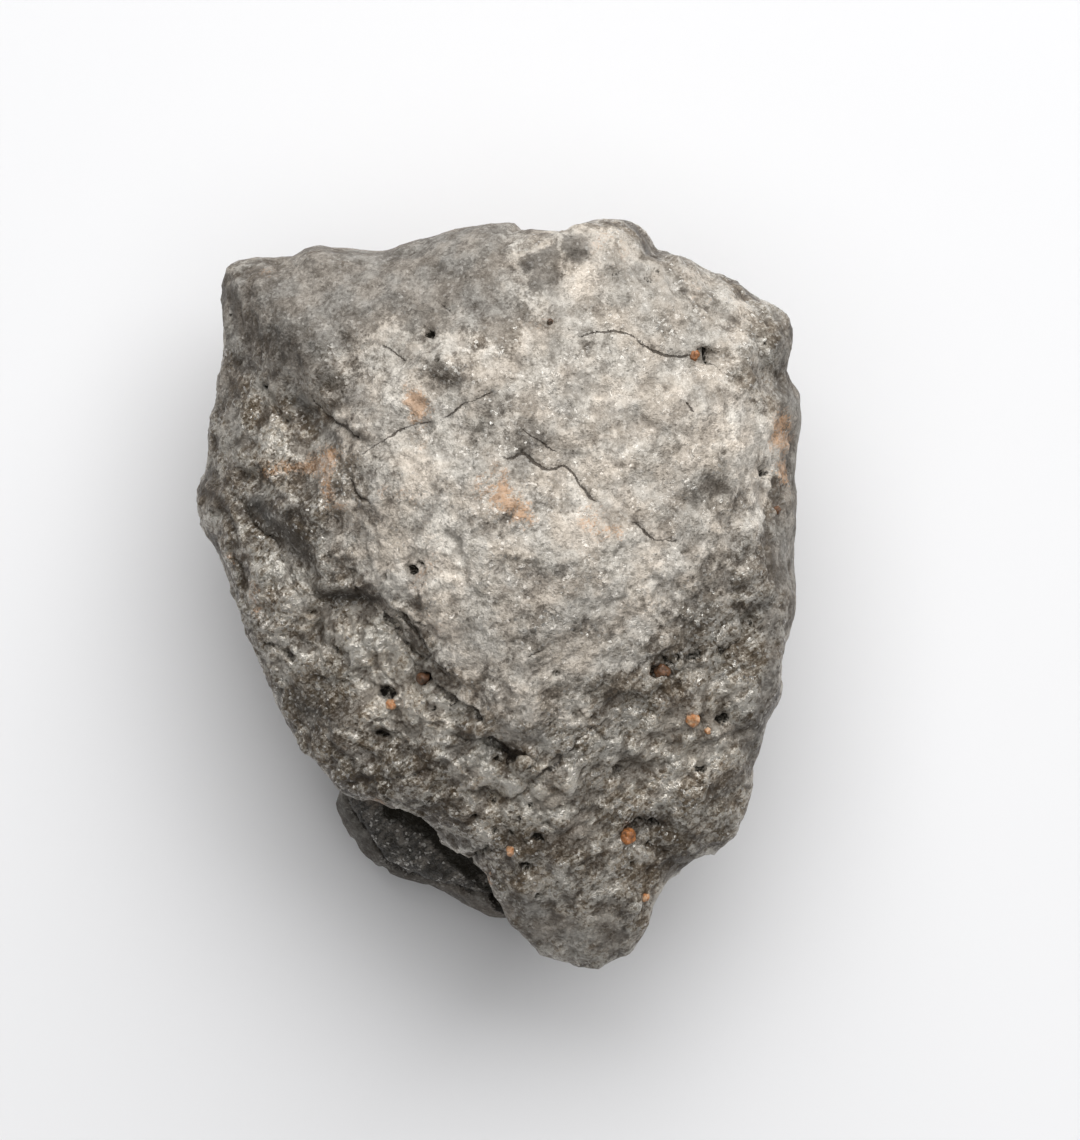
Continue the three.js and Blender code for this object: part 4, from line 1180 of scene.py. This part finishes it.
def grain_material(name, colour, deep):
    """A small mineral grain: speckled, slightly waxy, with a few crystal faces."""
    material, n, shader = new_material(name)
    speckle, facets = shared_groups()
    place = n.place_mm()
    salt = n.mottle(speckle, place, "mineral")
    n.feed(shader.inputs["Base Color"], n.blend(n.span(salt, 0.2, 0.8), rgba(deep), rgba(colour)))
    geometry = n.add("NewGeometry")
    crystal = use_group(n, facets, Place=place, Normal=geometry.outputs["Normal"],
                        Per_mm=MINERAL_CRYSTALS_PER_MM, Lean=0.5, Rarity=0.8)
    n.feed(shader.inputs["Normal"], crystal.outputs["Normal"])
    n.feed(shader.inputs["Roughness"], n.minus(0.6, n.times(crystal.outputs["Glint"], 0.3)))
    return material


# ---------------------------------------------------------------- stage


def plain_material(name, colour, roughness):
    material, _, shader = new_material(name)
    shader.inputs["Base Color"].default_value = rgba(colour)
    shader.inputs["Roughness"].default_value = roughness
    return material


def add_light(name, way, energy):
    """A square area light that stands this way from the target and faces it."""
    lamp = bpy.data.lights.new(name, "AREA")
    lamp.size = LIGHT_SIZE
    lamp.energy = energy
    piece = bpy.data.objects.new(name, lamp)
    piece.location = TARGET + Vector(way).normalized() * LIGHT_DISTANCE
    piece.rotation_euler = (TARGET - piece.location).to_track_quat("-Z", "Y").to_euler()
    bpy.context.scene.collection.objects.link(piece)


def colour_property(name, description, default):
    return FloatVectorProperty(name=name, description=description, default=default, subtype="COLOR",
                               min=0, max=1)


def power_property(name, description, default):
    return FloatProperty(name=name, description=description, default=default, min=0, unit="POWER")


class StoneSettings(bpy.types.PropertyGroup):
    """Sizes and colours a user would change."""
    steps: IntProperty(name="Grid steps", description="Faces along each side of the stone's six patches",
                       default=128, min=8, max=128)
    dark_stone: colour_property("Dark stone", "The darkest bare stone", (0.086, 0.063, 0.040))
    pale_stone: colour_property("Pale stone", "The palest bare stone", (0.465, 0.424, 0.362))
    shaded_film: colour_property("Shaded film", "The grey film where it is thin", (0.145, 0.131, 0.115))
    bright_film: colour_property("Bright film", "The grey film where it is thick", (0.30, 0.281, 0.256))
    silver: colour_property("Silver", "Crystal faces that catch the light", (0.56, 0.54, 0.502))
    shaded_dust: colour_property("Shaded dust", "Dust in its thin, greyer places", (0.39, 0.352, 0.305))
    bright_dust: colour_property("Bright dust", "Dust where it lies thick", (0.65, 0.602, 0.543))
    thin_dust: colour_property("Thin dust", "The top face where little dust lies", (0.235, 0.21, 0.18))
    ochre: colour_property("Ochre", "Rusty stains", (0.52, 0.29, 0.145))
    # Crevice also paints shade in hollows, furrows and on risers; pore paints shade black in pores, pits and
    # the recess, and on the lobe.
    crevice: colour_property("Crevice", "The bottoms between grains", (0.050, 0.037, 0.026))
    pore: colour_property("Pore", "Inside pores and cracks", (0.016, 0.014, 0.010))
    orange_grain: colour_property("Orange grain", "Grains in the pores", (0.42, 0.16, 0.05))
    brown_grain: colour_property("Brown grain", "Darker grains in the pores", (0.15, 0.065, 0.026))
    peach_grain: colour_property("Peach grain", "Paler grains in the pores", (0.55, 0.36, 0.22))
    sky: FloatProperty(name="Sky", description="Strength of the even studio light", default=0.16, min=0)
    window: power_property("Window", "Power of the large soft light", 2.42)
    lamp: power_property("Lamp", "Power of the soft light overhead", 0.98)
    lens: FloatProperty(name="Lens", description="Focal length", default=400.0, min=1, unit="CAMERA")


class STONE_OT_skin(bpy.types.Operator):
    """Build the visible surface of the stone."""
    bl_idname = "stone.skin"
    bl_label = "Stone skin"

    def execute(self, context):
        settings = context.scene.stone_settings
        skin, quads, _, masks = stone_mesh(settings.steps)
        piece = new_piece("stone_skin", skin, quads, masks)
        piece.data.materials.append(stone_material(settings))
        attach(piece, "root")
        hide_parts("stone")
        return {"FINISHED"}


class STONE_OT_grains(bpy.types.Operator):
    """Build the mineral grains that sit in the stone's pores."""
    bl_idname = "stone.grains"
    bl_label = "Pore grains"

    def execute(self, context):
        settings = context.scene.stone_settings
        skin, _, upper, _ = stone_mesh(settings.steps)
        high = skin[upper > 0.2]
        d, quads = stone_grid(GRAIN_STEPS)
        points, faces, kinds = [], [], []
        for k, (x, y, radius, kind) in enumerate(PORE_GRAINS):
            middle = sheet([(x, y)])[0]
            size = radius * DRAWING_UNIT
            around = np.hypot(*(high[:, :2] - middle).T) < size * 1.6
            height = high[around, 2].mean() + 0.1 * size
            points.append(d * (grain_radius(d, k) * size)[:, None] + np.array([*middle, height]))
            faces.append(quads + k * len(d))
            kinds.append(np.full(len(quads), kind))
        piece = new_piece("pore_grains", np.concatenate(points), np.concatenate(faces))
        for name, deep in GRAIN_COLOURS.items():
            colours = getattr(settings, name), getattr(settings, deep)
            piece.data.materials.append(grain_material(name, *colours))
        piece.data.polygons.foreach_set("material_index", np.concatenate(kinds).astype(np.int32))
        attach(piece, "root")
        return {"FINISHED"}


class STONE_OT_stage(bpy.types.Operator):
    """Build the floor, the lights and the camera."""
    bl_idname = "stone.stage"
    bl_label = "Stage"

    def execute(self, context):
        settings = context.scene.stone_settings
        corners = FLOOR_HALF * np.array([(-1, -1, 0), (1, -1, 0), (1, 1, 0), (-1, 1, 0)])
        floor = new_piece("floor", corners, np.array([(0, 1, 2, 3)]))
        floor.data.materials.append(plain_material("pale_paper", PAPER, 0.9))
        for name, way in LIGHT_WAYS.items():
            add_light(name, way, getattr(settings, name))
        world = bpy.data.worlds.new("studio")
        world.use_nodes = True
        world.node_tree.nodes["Background"].inputs["Color"].default_value = (1, 1, 1, 1)
        world.node_tree.nodes["Background"].inputs["Strength"].default_value = settings.sky
        context.scene.world = world
        context.scene.view_settings.view_transform = "Standard"
        camera = bpy.data.cameras.new("camera")
        camera.lens = settings.lens
        camera.sensor_width = SENSOR_WIDTH
        eye = bpy.data.objects.new("camera", camera)
        eye.location = (TARGET.x, TARGET.y, TARGET.z + VIEW_WIDTH * settings.lens / SENSOR_WIDTH)
        context.scene.collection.objects.link(eye)
        context.scene.camera = eye
        return {"FINISHED"}


class STONE_PT_panel(bpy.types.Panel):
    """Lists the stone's settings and operators."""
    bl_idname = "STONE_PT_panel"
    bl_label = "Rough diamond"
    bl_space_type = "VIEW_3D"
    bl_region_type = "UI"
    bl_category = "Stone"

    def draw(self, context):
        for name in StoneSettings.__annotations__:
            self.layout.prop(context.scene.stone_settings, name)
        for operator in ("stone.skin", "stone.grains", "stone.stage"):
            self.layout.operator(operator)


CLASSES = (StoneSettings, STONE_OT_skin, STONE_OT_grains, STONE_OT_stage, STONE_PT_panel)


def register():
    for cls in CLASSES:
        bpy.utils.register_class(cls)
    bpy.types.Scene.stone_settings = PointerProperty(type=StoneSettings)


def unregister():
    del bpy.types.Scene.stone_settings
    for cls in reversed(CLASSES):
        bpy.utils.unregister_class(cls)


def main():
    register()
    bpy.ops.stone.skin()
    bpy.ops.stone.grains()
    bpy.ops.stone.stage()


if __name__ == "__main__":
    main()
